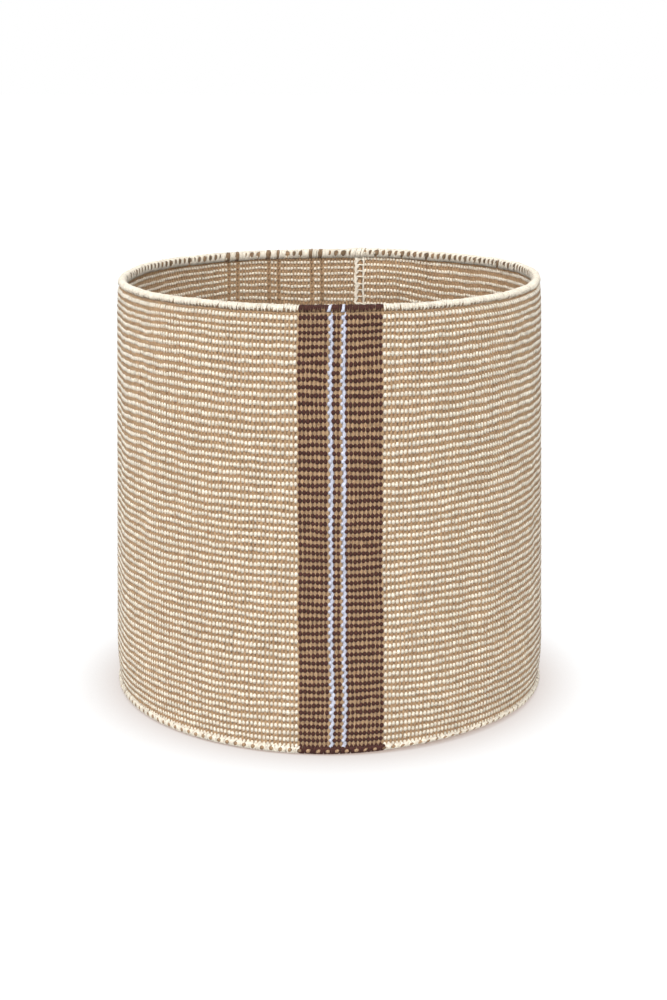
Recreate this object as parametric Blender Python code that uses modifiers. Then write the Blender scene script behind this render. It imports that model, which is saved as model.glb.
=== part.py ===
"""A kiondo floor basket: a round wall of warp-faced cloth, a corded rim, a laced back seam and a base.

The origin is on the floor at the centre of the base, +Z is up, and the front stripe faces -Y. An azimuth
is measured from the front, and grows towards +X.
"""

import math
from dataclasses import dataclass

import bmesh
import bpy

COLLECTION_NAME = "kiondo_basket"

# Driving dimensions, in metres: the basket as a whole. The straight side would stand wider by the flare
# at the floor than at the rim, and the tuck then draws the corner in.
RIM_RADIUS = 0.175
HEIGHT = 0.3525
FOOT_FLARE = 0.0115
CORNER_HEIGHT = 0.049
CORNER_TUCK = 0.0055
WALL_THICKNESS = 0.0046
BASE_THICKNESS = 0.0046

# The rim roll: a heading cord with warp loops wrapped over it
CORD_RADIUS = 0.0022
RIM_LOOP_THICKNESS = 0.0010
RIM_LOOP_EASE = 0.0004
SEAM_WRAP_EXTRA = 0.0006

# The stitches round the foot, and the lacing of the back seam
STITCH_THICKNESS = 0.0010
STITCH_LAP = 0.0030
STITCH_FLOOR_CLEARANCE = 0.0004
LACING_RADIUS = 0.0008
LACING_RUNG_PITCH = 0.0060
LACING_END_MARGIN = 0.0030

# What neighbouring pieces leave between them
SEAT_GAP = 0.0003
WARP_GAP = 0.0004

# Angles and counts
STRIPE_START = math.radians(-7.2)
RIM_LOOP_REACH = math.radians(125.0)
TURN_STEP = math.radians(4.0)
SHARP_ANGLE = math.radians(30.0)
CORNER_STEPS = 5
RIM_LOOP_STEPS = 8
RING_POINTS = 90
CORD_BEVEL_RESOLUTION = 2
LACING_BEVEL_RESOLUTION = 0


@dataclass(frozen=True)
class Yarn:
    """A yarn's name, linear base colour and roughness."""

    name: str
    colour: tuple[float, float, float]
    roughness: float = 0.9


CREAM = Yarn("cream_yarn", (0.86, 0.79, 0.64))
TAN = Yarn("tan_yarn", (0.46, 0.30, 0.15))
BROWN = Yarn("dark_brown_yarn", (0.075, 0.032, 0.030))
BLUE = Yarn("pale_blue_yarn", (0.64, 0.71, 0.87))


@dataclass(frozen=True)
class Zone:
    """Neighbouring warp pairs of one colouring, from the floor to the rim."""

    name: str
    pairs: int
    yarn: Yarn


# Anticlockwise seen from above, from the left edge of the front stripe
STRIPE_ZONES = (
    Zone("stripe_brown_left", 7, BROWN),
    Zone("stripe_blue_left", 1, BLUE),
    Zone("stripe_brown_middle", 2, BROWN),
    Zone("stripe_blue_right", 1, BLUE),
    Zone("stripe_brown_right", 9, BROWN),
)
RIGHT_ZONES = (Zone("field_right", 149, CREAM),)
SEAM_ZONES = (
    Zone("selvedge_right", 1, CREAM),
    Zone("seam_joint", 2, TAN),
    Zone("selvedge_left", 1, CREAM),
)
BACK_ZONES = (
    Zone("back_band_1", 9, CREAM),
    Zone("back_line_1", 1, TAN),
    Zone("back_band_2", 2, CREAM),
    Zone("back_line_2", 1, TAN),
    Zone("back_band_3", 9, CREAM),
    Zone("back_line_3", 1, TAN),
    Zone("back_band_4", 2, CREAM),
    Zone("back_line_4", 1, TAN),
    Zone("back_band_5", 9, CREAM),
    Zone("back_line_5", 1, TAN),
    Zone("back_band_6", 2, CREAM),
    Zone("back_line_6", 1, TAN),
    Zone("field_left", 134, CREAM),
)
WALL_ZONES = STRIPE_ZONES + RIGHT_ZONES + SEAM_ZONES + BACK_ZONES


def pair_count(zones):
    """The number of warp pairs in a run of zones."""
    return sum(zone.pairs for zone in zones)


PAIR_ANGLE = 2 * math.pi / pair_count(WALL_ZONES)
SEAM_START = STRIPE_START + pair_count(STRIPE_ZONES + RIGHT_ZONES) * PAIR_ANGLE
SEAM_ANGLE = pair_count(SEAM_ZONES) * PAIR_ANGLE
SEAM_CENTRE = SEAM_START + SEAM_ANGLE / 2

FOOT_RADIUS = RIM_RADIUS + FOOT_FLARE

# Where the rim roll sits, from its own sizes
ROLL_RADIUS = CORD_RADIUS + RIM_LOOP_EASE + RIM_LOOP_THICKNESS
ROLL_CENTRE_RADIUS = RIM_RADIUS - ROLL_RADIUS
ROLL_CENTRE_HEIGHT = HEIGHT - ROLL_RADIUS
WALL_TOP = ROLL_CENTRE_HEIGHT - CORD_RADIUS - SEAT_GAP
WALL_FOOT = BASE_THICKNESS + SEAT_GAP


def side_radius(height):
    """The outer radius of the wall at a height: a straight taper that tucks in at the floor."""
    straight = FOOT_RADIUS - FOOT_FLARE * height / HEIGHT
    inset = max(0.0, 1 - height / CORNER_HEIGHT)
    return straight - CORNER_TUCK * (1 - math.sqrt(1 - inset**2))


def side_slope(height):
    """How fast the wall's outer radius grows with height."""
    inset = max(0.0, 1 - height / CORNER_HEIGHT)
    return CORNER_TUCK / CORNER_HEIGHT * inset / math.sqrt(1 - inset**2) - FOOT_FLARE / HEIGHT


def wall_point(height, depth):
    """The radius and height of a point that lies depth inside the wall's outer face, square to it."""
    slope = side_slope(height)
    length = math.hypot(slope, 1)
    return side_radius(height) - depth / length, height + depth * slope / length


def corner_heights(lowest):
    """Heights from the top of the tucked corner down to lowest, closer together towards the floor."""
    last = math.acos(1 - lowest / CORNER_HEIGHT)
    angles = [math.pi / 2 + (last - math.pi / 2) * i / CORNER_STEPS for i in range(CORNER_STEPS + 1)]
    return [CORNER_HEIGHT * (1 - math.cos(angle)) for angle in angles]


def clear_scene():
    """Remove every object that the scene starts with."""
    for obj in list(bpy.data.objects):
        bpy.data.objects.remove(obj, do_unlink=True)


def make_collection():
    """The collection that holds the basket's pieces."""
    collection = bpy.data.collections.new(COLLECTION_NAME)
    bpy.context.scene.collection.children.link(collection)
    return collection


def yarn_material(piece, yarn):
    """A matt material of a yarn's colour, for one piece."""
    material = bpy.data.materials.new(f"{yarn.name}_{piece}")
    material.use_nodes = True
    shader = material.node_tree.nodes["Principled BSDF"]
    shader.inputs["Base Color"].default_value = (*yarn.colour, 1.0)
    shader.inputs["Roughness"].default_value = yarn.roughness
    shader.inputs["Metallic"].default_value = 0.0
    return material


def add_object(collection, name, data, yarn):
    """Place data in the collection as a named object with its own material."""
    obj = bpy.data.objects.new(name, data)
    collection.objects.link(obj)
    data.materials.append(yarn_material(name, yarn))
    return obj


def turned_shell(collection, name, profile, thickness, start, sweep, yarn):
    """A shell turned about Z from an outer profile of (radius, height), thickened inwards."""
    mesh = bpy.data.meshes.new(name)
    mesh.from_pydata([(radius, 0, height) for radius, height in profile],
                     [(i, i + 1) for i in range(len(profile) - 1)], [])
    obj = add_object(collection, name, mesh, yarn)
    obj.rotation_euler.z = start - math.pi / 2
    steps = max(1, math.ceil(sweep / TURN_STEP))
    screw = obj.modifiers.new("turn", "SCREW")
    screw.axis = "Z"
    screw.angle = sweep
    screw.steps = steps
    screw.render_steps = steps
    shell = obj.modifiers.new("thickness", "SOLIDIFY")
    shell.thickness = thickness
    shell.offset = -1
    shell.use_even_offset = True
    return obj


def zone_spans(zones, start):
    """Each zone with the azimuth where it starts and the angle that it sweeps."""
    for zone in zones:
        sweep = zone.pairs * PAIR_ANGLE
        yield zone, start, sweep
        start += sweep


def wall_profile():
    """The outer face of the wall, from the top down to its foot."""
    heights = [WALL_TOP] + corner_heights(WALL_FOOT)
    return [(side_radius(height), height) for height in heights]


def add_walls(collection):
    """One panel of cloth for each zone of warps, side by side all the way round."""
    inset = WARP_GAP / RIM_RADIUS
    for zone, start, sweep in zone_spans(WALL_ZONES, STRIPE_START):
        turned_shell(collection, f"wall_{zone.name}", wall_profile(), WALL_THICKNESS,
                     start + inset / 2, sweep - inset, zone.yarn)


def loop_profile(radius):
    """A loop over the cord in section: up its inner side, over the top and down its outer side."""
    angles = [math.pi / 2 + RIM_LOOP_REACH * (1 - 2 * i / RIM_LOOP_STEPS) for i in range(RIM_LOOP_STEPS + 1)]
    return [(ROLL_CENTRE_RADIUS + radius * math.cos(angle), ROLL_CENTRE_HEIGHT + radius * math.sin(angle))
            for angle in angles]


def add_rim_loops(collection):
    """The warp loops wrapped over the cord, zone by zone, with one thicker wrap over the seam."""
    inset = WARP_GAP / RIM_RADIUS
    seam_wrap = Zone("seam_wrap", pair_count(SEAM_ZONES), CREAM)
    rim_zones = STRIPE_ZONES + RIGHT_ZONES + (seam_wrap,) + BACK_ZONES
    for zone, start, sweep in zone_spans(rim_zones, STRIPE_START):
        extra = SEAM_WRAP_EXTRA if zone is seam_wrap else 0.0
        turned_shell(collection, f"rim_{zone.name}", loop_profile(ROLL_RADIUS + extra),
                     RIM_LOOP_THICKNESS + extra, start + inset / 2, sweep - inset, zone.yarn)


def add_tube(collection, name, points, radius, bevel_resolution, cyclic, yarn):
    """A round yarn or cord along straight runs between points."""
    curve = bpy.data.curves.new(name, "CURVE")
    curve.dimensions = "3D"
    curve.bevel_depth = radius
    curve.bevel_resolution = bevel_resolution
    curve.use_fill_caps = not cyclic
    spline = curve.splines.new("POLY")
    spline.points.add(len(points) - 1)
    for target, point in zip(spline.points, points):
        target.co = (*point, 1.0)
    spline.use_cyclic_u = cyclic
    return add_object(collection, name, curve, yarn)


def polar_point(radius, azimuth, height):
    """A point from its distance to the axis, its azimuth from the front and its height."""
    return radius * math.sin(azimuth), -radius * math.cos(azimuth), height


def add_heading_cord(collection):
    """The cord that runs round inside the rim's loops."""
    points = [polar_point(ROLL_CENTRE_RADIUS, 2 * math.pi * i / RING_POINTS, ROLL_CENTRE_HEIGHT)
              for i in range(RING_POINTS)]
    add_tube(collection, "heading_cord", points, CORD_RADIUS, CORD_BEVEL_RESOLUTION, True, TAN)


def add_base(collection):
    """The flat cloth disc that the basket stands on."""
    mesh = bpy.data.meshes.new("base_disc")
    shape = bmesh.new()
    radius = side_radius(WALL_FOOT)
    bmesh.ops.create_cone(shape, cap_ends=True, segments=RING_POINTS, radius1=radius, radius2=radius,
                          depth=BASE_THICKNESS)
    shape.to_mesh(mesh)
    shape.free()
    mesh.shade_smooth()
    mesh.set_sharp_from_angle(angle=SHARP_ANGLE)
    obj = add_object(collection, "base_disc", mesh, CREAM)
    obj.location.z = BASE_THICKNESS / 2


def stitch_profile():
    """The outer side of the whip stitches, from where they enter the wall down to the floor."""
    standoff = SEAT_GAP + STITCH_THICKNESS
    foot_radius = side_radius(WALL_FOOT) + standoff
    top = WALL_FOOT + STITCH_LAP
    return [(side_radius(top) + standoff, top), (foot_radius, WALL_FOOT), (foot_radius, STITCH_FLOOR_CLEARANCE)]


def add_foot_stitches(collection):
    """The whip stitches that bind the wall's foot to the edge of the base."""
    inset = WARP_GAP / FOOT_RADIUS
    stripe_sweep = pair_count(STRIPE_ZONES) * PAIR_ANGLE
    runs = (("foot_stitches_brown", STRIPE_START, stripe_sweep, BROWN),
            ("foot_stitches_cream", STRIPE_START + stripe_sweep, 2 * math.pi - stripe_sweep, CREAM))
    for name, start, sweep, yarn in runs:
        turned_shell(collection, name, stitch_profile(), STITCH_THICKNESS, start + inset / 2, sweep - inset, yarn)


def lacing_points(depth):
    """A ladder across the seam: a rung from selvedge to selvedge, a step up one side, and back."""
    low = CORNER_HEIGHT
    high = WALL_TOP - LACING_END_MARGIN
    rungs = int((high - low) / LACING_RUNG_PITCH) + 1
    half_width = (SEAM_ANGLE - PAIR_ANGLE) / 2
    points = []
    for rung in range(rungs):
        side = 1 if rung % 2 == 0 else -1
        radius, height = wall_point(low + rung * LACING_RUNG_PITCH, depth)
        for azimuth in (SEAM_CENTRE - side * half_width, SEAM_CENTRE + side * half_width):
            points.append(polar_point(radius, azimuth, height))
    return points


def add_seam_lacing(collection):
    """The lacing yarn that holds the two selvedges together, inside and outside."""
    standoff = SEAT_GAP + LACING_RADIUS
    depths = {"seam_lacing_inside": WALL_THICKNESS + standoff, "seam_lacing_outside": -standoff}
    for name, depth in depths.items():
        add_tube(collection, name, lacing_points(depth), LACING_RADIUS, LACING_BEVEL_RESOLUTION, False, CREAM)


def main():
    """Build the basket from its base up."""
    clear_scene()
    collection = make_collection()
    add_base(collection)
    add_foot_stitches(collection)
    add_walls(collection)
    add_seam_lacing(collection)
    add_heading_cord(collection)
    add_rim_loops(collection)


main()
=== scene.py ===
"""A kiondo floor basket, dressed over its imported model.

Every yarn of the cloth is its own closed form. A piece is first modelled flat, at its real size: x runs
round the basket, y goes into the cloth from its outer face, and z runs up the wall. It is then laid on the
basket's form. Lengths are in metres. An azimuth is measured from the front, and grows towards +X.
"""

import logging
import math
from collections.abc import Sequence
from dataclasses import dataclass, replace
from enum import Enum

import bpy
import numpy as np
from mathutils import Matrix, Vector

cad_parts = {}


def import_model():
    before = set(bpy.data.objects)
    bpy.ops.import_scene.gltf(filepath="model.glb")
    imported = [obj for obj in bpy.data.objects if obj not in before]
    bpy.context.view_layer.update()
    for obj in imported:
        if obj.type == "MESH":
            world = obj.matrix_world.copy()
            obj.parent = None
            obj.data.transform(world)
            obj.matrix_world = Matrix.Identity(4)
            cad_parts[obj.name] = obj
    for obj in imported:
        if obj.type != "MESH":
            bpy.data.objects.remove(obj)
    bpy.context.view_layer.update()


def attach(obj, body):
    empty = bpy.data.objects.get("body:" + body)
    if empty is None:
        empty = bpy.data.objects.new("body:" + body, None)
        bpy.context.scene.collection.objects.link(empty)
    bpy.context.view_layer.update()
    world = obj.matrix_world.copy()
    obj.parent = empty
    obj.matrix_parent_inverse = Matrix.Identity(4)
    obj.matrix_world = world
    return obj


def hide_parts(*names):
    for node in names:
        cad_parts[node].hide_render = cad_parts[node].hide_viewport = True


LOG = logging.getLogger("kiondo_basket")
BODY = "root"
SHADE_ATTRIBUTE = "shade"
LAY_ATTRIBUTE = "lay"
WELD_DISTANCE = 0.00001
COPY_STEP = 0.01
BASKET_HEIGHT = 0.3525
FLOAT = "NodeSocketFloat"
COLOUR = "NodeSocketColor"
Triple = tuple[float, float, float]
Table = tuple[tuple[float, ...], ...]

# Warp pairs of each zone, anticlockwise seen from above, from the left edge of the front stripe
ZONES = {
    "stripe_brown_left": 7, "stripe_blue_left": 1, "stripe_brown_middle": 2, "stripe_blue_right": 1,
    "stripe_brown_right": 9,
    "field_right": 149,
    "selvedge_right": 1, "seam_joint": 2, "selvedge_left": 1,
    "back_band_1": 9, "back_line_1": 1, "back_band_2": 2, "back_line_2": 1,
    "back_band_3": 9, "back_line_3": 1, "back_band_4": 2, "back_line_4": 1,
    "back_band_5": 9, "back_line_5": 1, "back_band_6": 2, "back_line_6": 1,
    "field_left": 134,
}
PAIRS_ROUND = sum(ZONES.values())


class Yarn(Enum):
    """The basket's yarns, by name."""

    CREAM = "cream_yarn"
    TAN = "tan_yarn"
    BROWN = "dark_brown_yarn"
    BLUE = "pale_blue_yarn"


class WarpSet(Enum):
    """The two sets of warps that change faces in turn, by the place of their middle in a warp pair."""

    FIRST = 0.25
    SECOND = 0.75


def zone_pairs(*names: str) -> np.ndarray:
    """Number the warp pairs of some zones, counted from the stripe's left edge.

    Args:
        names: The zones' names.

    Returns:
        The pairs' numbers in order.
    """
    ends = np.cumsum(list(ZONES.values()))
    runs = [np.arange(end - pairs, end) for (name, pairs), end in zip(ZONES.items(), ends) if name in names]
    return np.concatenate(runs)


def zones_named(start: str) -> tuple[str, ...]:
    """The names of the zones whose name begins with start."""
    return tuple(name for name in ZONES if name.startswith(start))


def ease(value: np.ndarray) -> np.ndarray:
    """A soft step from 0 to 1 as the value goes from 0 to 1."""
    held = np.clip(value, 0.0, 1.0)
    return held * held * (3.0 - 2.0 * held)


def look_up(table: Table, place: np.ndarray) -> np.ndarray:
    """The values of a table of places and values, at places between them."""
    places, values = zip(*table)
    return np.interp(place, places, values)


def polar(radius: np.ndarray, azimuth: np.ndarray, height: np.ndarray) -> np.ndarray:
    """Turn distances from the axis, azimuths in radians and heights into rows of x, y and z."""
    return np.column_stack((radius * np.sin(azimuth), -radius * np.cos(azimuth), height))


@dataclass(frozen=True)
class SoftStep:
    """A soft step from 0 to 1: where it starts, and how wide it is."""

    start: float
    width: float

    def at(self, place: np.ndarray) -> np.ndarray:
        """How much of the step is done at a place."""
        return ease((place - self.start) / self.width)


@dataclass(frozen=True)
class Crease:
    """A soft upright dent in the wall, where the cloth was folded or squeezed.

    The azimuth and width are in degrees. A negative depth is a swelling.
    """

    azimuth: float
    width: float
    depth: float
    height: float
    reach: float


@dataclass(frozen=True)
class Handwork:
    """The unevenness of handwork: rows that wander, warps that lean and a wall that dents.

    A wave is given by its size, waves per turn, radians up the whole side and start. The tables of rises
    go by azimuth in degrees, and the table of row shifts by height.
    """

    creases: tuple[Crease, ...] = (
        Crease(-76.0, 2.2, 0.0013, 0.21, 0.11),
        Crease(-66.0, 2.6, -0.0009, 0.22, 0.12),
        Crease(-57.0, 2.0, 0.0014, 0.24, 0.10),
        Crease(-42.0, 2.8, 0.0013, 0.20, 0.10),
        Crease(-24.0, 5.0, -0.0008, 0.12, 0.08),
        Crease(22.0, 4.0, -0.0008, 0.26, 0.08),
        Crease(38.5, 1.8, 0.0019, 0.14, 0.05),
        Crease(44.0, 3.0, -0.0012, 0.15, 0.06),
        Crease(60.0, 3.0, 0.0009, 0.24, 0.08),
        Crease(71.0, 2.0, 0.0013, 0.15, 0.07),
        Crease(96.0, 4.0, 0.0014, 0.20, 0.10),
        Crease(122.0, 3.0, -0.0014, 0.14, 0.09),
        Crease(139.0, 2.5, 0.0018, 0.17, 0.08),
        Crease(-104.0, 3.0, 0.0016, 0.15, 0.09),
        Crease(-131.0, 4.0, -0.0012, 0.20, 0.10),
        Crease(-148.0, 2.5, 0.0018, 0.16, 0.08),
        Crease(-172.0, 3.0, 0.0012, 0.22, 0.09),
    )
    oval: float = 0.0008
    oval_turn: float = 0.7
    foot_calm: float = 0.040
    rim_calm: float = 0.030
    row_waves: Table = ((0.00055, 3, 5.0, 0.4), (0.00040, 7, -9.0, 1.9), (0.00028, 13, 16.0, 2.7),
                        (0.00022, 29, -41.0, 0.8), (0.00018, 53, 97.0, 5.1), (0.00014, 83, -160.0, 2.2))
    row_shifts: Table = (
        (0.0, 0.0), (0.020, -0.0012), (0.048, -0.0015), (0.078, -0.0018), (0.107, -0.0014),
        (0.137, -0.0020), (0.166, -0.0023), (0.196, -0.0031), (0.225, -0.0026), (0.255, -0.0017),
        (0.284, 0.0009), (0.300, 0.0014), (0.314, 0.0026), (0.326, 0.0024), (0.339, 0.0), (0.36, 0.0))
    side_waves: Table = ((0.00035, 2, 5.0, 1.1), (0.00025, 5, -13.0, 3.0), (0.00025, 11, 24.0, 4.4))
    back_rises: Table = (
        (130.0, -0.0012), (148.0, -0.0012), (159.0, 0.0020), (187.0, 0.0026), (201.0, 0.0058),
        (213.0, 0.0062), (255.0, 0.0))
    back_drop: float = 0.0416
    back_spread: float = 0.030
    rim_rises: Table = (
        (50.0, 0.0), (75.0, 0.0012), (92.0, 0.0030), (107.0, 0.0036), (125.0, 0.0026), (150.0, 0.0025),
        (164.0, 0.0027), (174.0, 0.0018), (190.0, 0.0016), (208.0, 0.0014), (230.0, 0.0018), (248.0, 0.0014),
        (262.0, 0.0004), (280.0, 0.0))
    rim_waves: Table = ((0.00018, 9, 0.0, 0.5), (0.00012, 23, 0.0, 2.0))
    rim_level: float = -0.0002
    rim_pull: float = 0.060
    foot_rises: Table = (
        (0.0, 0.0), (8.0, 0.0006), (14.0, 0.0014), (22.0, 0.0026), (35.0, 0.0035), (48.0, 0.0034),
        (58.0, 0.0024), (75.0, 0.0012), (95.0, 0.0), (360.0, 0.0))
    foot_height: float = 0.0068

    def calm(self, height: np.ndarray) -> np.ndarray:
        """How free the cloth is at a height: 0 where the rim or the foot holds it, 1 between."""
        return ease(height / self.foot_calm) * ease((BASKET_HEIGHT - height) / self.rim_calm)

    def waves(self, waves: Table, azimuth: np.ndarray, height: np.ndarray | float) -> np.ndarray:
        """Add up waves that run round the basket and up its side, at azimuths in radians and heights."""
        return sum(size * np.sin(count * azimuth + climb * (height / BASKET_HEIGHT) + start)
                   for size, count, climb, start in waves)

    def dent(self, azimuth: np.ndarray, height: np.ndarray) -> np.ndarray:
        """Find how far the wall is pushed in.

        Args:
            azimuth: Azimuths in radians.
            height: Heights on the wall.

        Returns:
            The depth of the dent at each place.
        """
        total = self.oval * np.cos(2.0 * azimuth + self.oval_turn)
        for crease in self.creases:
            turn = (np.degrees(azimuth) - crease.azimuth + 180.0) % 360.0 - 180.0
            shape = np.exp(-0.5 * (turn / crease.width) ** 2)
            fade = np.exp(-0.5 * ((height - crease.height) / crease.reach) ** 2)
            total = total + crease.depth * shape * fade
        return total * self.calm(height)

    def row_drift(self, azimuth: np.ndarray, height: np.ndarray) -> np.ndarray:
        """How far a row of floats lies above its even place."""
        return self.waves(self.row_waves, azimuth, height) * self.calm(height)

    def row_shift(self, azimuth: np.ndarray, height: np.ndarray) -> np.ndarray:
        """How far the rows lie above even ones, most at the front and not at all at the back."""
        return look_up(self.row_shifts, height) * (0.5 + 0.5 * np.cos(azimuth))

    def side_drift(self, azimuth: np.ndarray, height: np.ndarray) -> np.ndarray:
        """How far a warp lies to the side of its even place."""
        return self.waves(self.side_waves, azimuth, height) * self.calm(height)

    def back_rise(self, azimuth: np.ndarray, height: np.ndarray) -> np.ndarray:
        """How far the rows are pushed up at the back, where they lie closer together under the rim."""
        fade = np.exp(-((BASKET_HEIGHT - height - self.back_drop) / self.back_spread) ** 2)
        return look_up(self.back_rises, np.degrees(azimuth) % 360.0) * fade

    def rim_lift(self, azimuth: np.ndarray) -> np.ndarray:
        """How far the rim roll lies above its even height."""
        rise = look_up(self.rim_rises, np.degrees(azimuth) % 360.0)
        return rise + self.waves(self.rim_waves, azimuth, 0.0) + self.rim_level

    def foot_rise(self, azimuth: np.ndarray, height: np.ndarray) -> np.ndarray:
        """How far the foot's edge curls up off the floor, less and less up to the top of the stitches."""
        rise = look_up(self.foot_rises, np.degrees(azimuth) % 360.0)
        return rise * np.clip(1.0 - height / self.foot_height, 0.0, 1.0)


@dataclass(frozen=True)
class BasketForm:
    """The basket's own sizes, and how a place on its cloth becomes a place in the room."""

    rim_radius: float = 0.175
    height: float = BASKET_HEIGHT
    foot_flare: float = 0.0115
    corner_height: float = 0.049
    corner_tuck: float = 0.0055
    cloth_thickness: float = 0.0046
    wall_foot: float = 0.0049
    wall_top: float = 0.3464
    seam_step: float = 0.0030
    cord_radius: float = 0.0022
    roll_radius: float = 0.0036
    stripe_start: float = -7.2
    handwork: Handwork = Handwork()

    @property
    def pair_width(self) -> float:
        """The width of one warp pair, measured round the rim."""
        return 2.0 * math.pi * self.rim_radius / PAIRS_ROUND

    @property
    def foot_radius(self) -> float:
        """The outer radius of the wall at its foot."""
        return float(self.side(np.array([self.wall_foot]))[0][0])

    def azimuth(self, around: np.ndarray) -> np.ndarray:
        """The azimuth, in radians, of a distance round the rim from the stripe's left edge."""
        return math.radians(self.stripe_start) + around / self.rim_radius

    def unroll(self, points: np.ndarray) -> tuple[np.ndarray, np.ndarray, np.ndarray]:
        """Find the azimuth, the distance round the rim and the distance inside the rim of points.

        Args:
            points: Rows of x, y and z in the room.

        Returns:
            The three places of each point.
        """
        azimuth = np.arctan2(points[:, 0], -points[:, 1])
        around = (azimuth - math.radians(self.stripe_start)) * self.rim_radius
        return azimuth, around, self.rim_radius - np.hypot(points[:, 0], points[:, 1])

    def side(self, height: np.ndarray) -> tuple[np.ndarray, np.ndarray]:
        """Find the wall's outer face at a height.

        Args:
            height: Heights above the floor.

        Returns:
            The outer radius, and how fast it grows with height.
        """
        held = np.clip(height, self.wall_foot * 0.5, self.height)
        inset = np.maximum(0.0, 1.0 - held / self.corner_height)
        bow = np.sqrt(1.0 - inset**2)
        flare = self.foot_flare * (1.0 - held / self.height)
        radius = self.rim_radius + flare - self.corner_tuck * (1.0 - bow)
        slope = self.corner_tuck / self.corner_height * inset / bow - self.foot_flare / self.height
        return radius, slope

    def climb(self, around: np.ndarray) -> np.ndarray:
        """How far the rows have risen on their way round from the seam, which they meet half a row apart."""
        turn = (around / self.pair_width - zone_pairs("seam_joint")[1]) % PAIRS_ROUND / PAIRS_ROUND
        return self.seam_step * (turn - 0.5)

    def on_wall(self, flat: np.ndarray, at_seam: bool = False) -> np.ndarray:
        """Lay flat points on the wall.

        Args:
            flat: Rows of distance round the rim, depth into the cloth and height.
            at_seam: Whether the points keep to the rows on the seam's right-hand side.

        Returns:
            The points in the room.
        """
        around, inward, even = flat.T
        azimuth = self.azimuth(around)
        climb = self.seam_step / 2.0 if at_seam else self.climb(around)
        pull = ease((even - self.wall_top + self.handwork.rim_pull) / self.handwork.rim_pull)
        height = (even + self.handwork.row_drift(azimuth, even) + climb
                  + self.handwork.back_rise(azimuth, even) + self.handwork.row_shift(azimuth, even)
                  + self.handwork.rim_lift(azimuth) * pull)
        depth = inward + self.handwork.dent(azimuth, even)
        azimuth = azimuth + self.handwork.side_drift(azimuth, even) / self.rim_radius
        radius, slope = self.side(height)
        length = np.hypot(slope, 1.0)
        return polar(radius - depth / length, azimuth, height + depth * slope / length)

    def on_roll(self, flat: np.ndarray) -> np.ndarray:
        """Lay flat points on the rim.

        Args:
            flat: Rows of distance round the rim, and of distance inwards and up from the roll's centre.

        Returns:
            The points in the room.
        """
        around, inward, up = flat.T
        azimuth = self.azimuth(around)
        return polar(self.rim_radius - self.roll_radius - inward, azimuth,
                     self.height - self.roll_radius + up + self.handwork.rim_lift(azimuth))

    def on_foot(self, flat: np.ndarray) -> np.ndarray:
        """Lay flat points round the foot.

        Args:
            flat: Rows of distance round the rim, distance inwards from the wall's face and height.

        Returns:
            The points in the room.
        """
        around, inward, even = flat.T
        azimuth = self.azimuth(around)
        radius, _ = self.side(np.maximum(even, self.wall_foot))
        return polar(radius - inward, azimuth, even + self.handwork.foot_rise(azimuth, even))


@dataclass(frozen=True)
class Ring:
    """One ring of a yarn as it is drawn out: where its centre lies, and its half sizes."""

    along: float
    depth: float
    half_width: float
    half_depth: float


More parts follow.
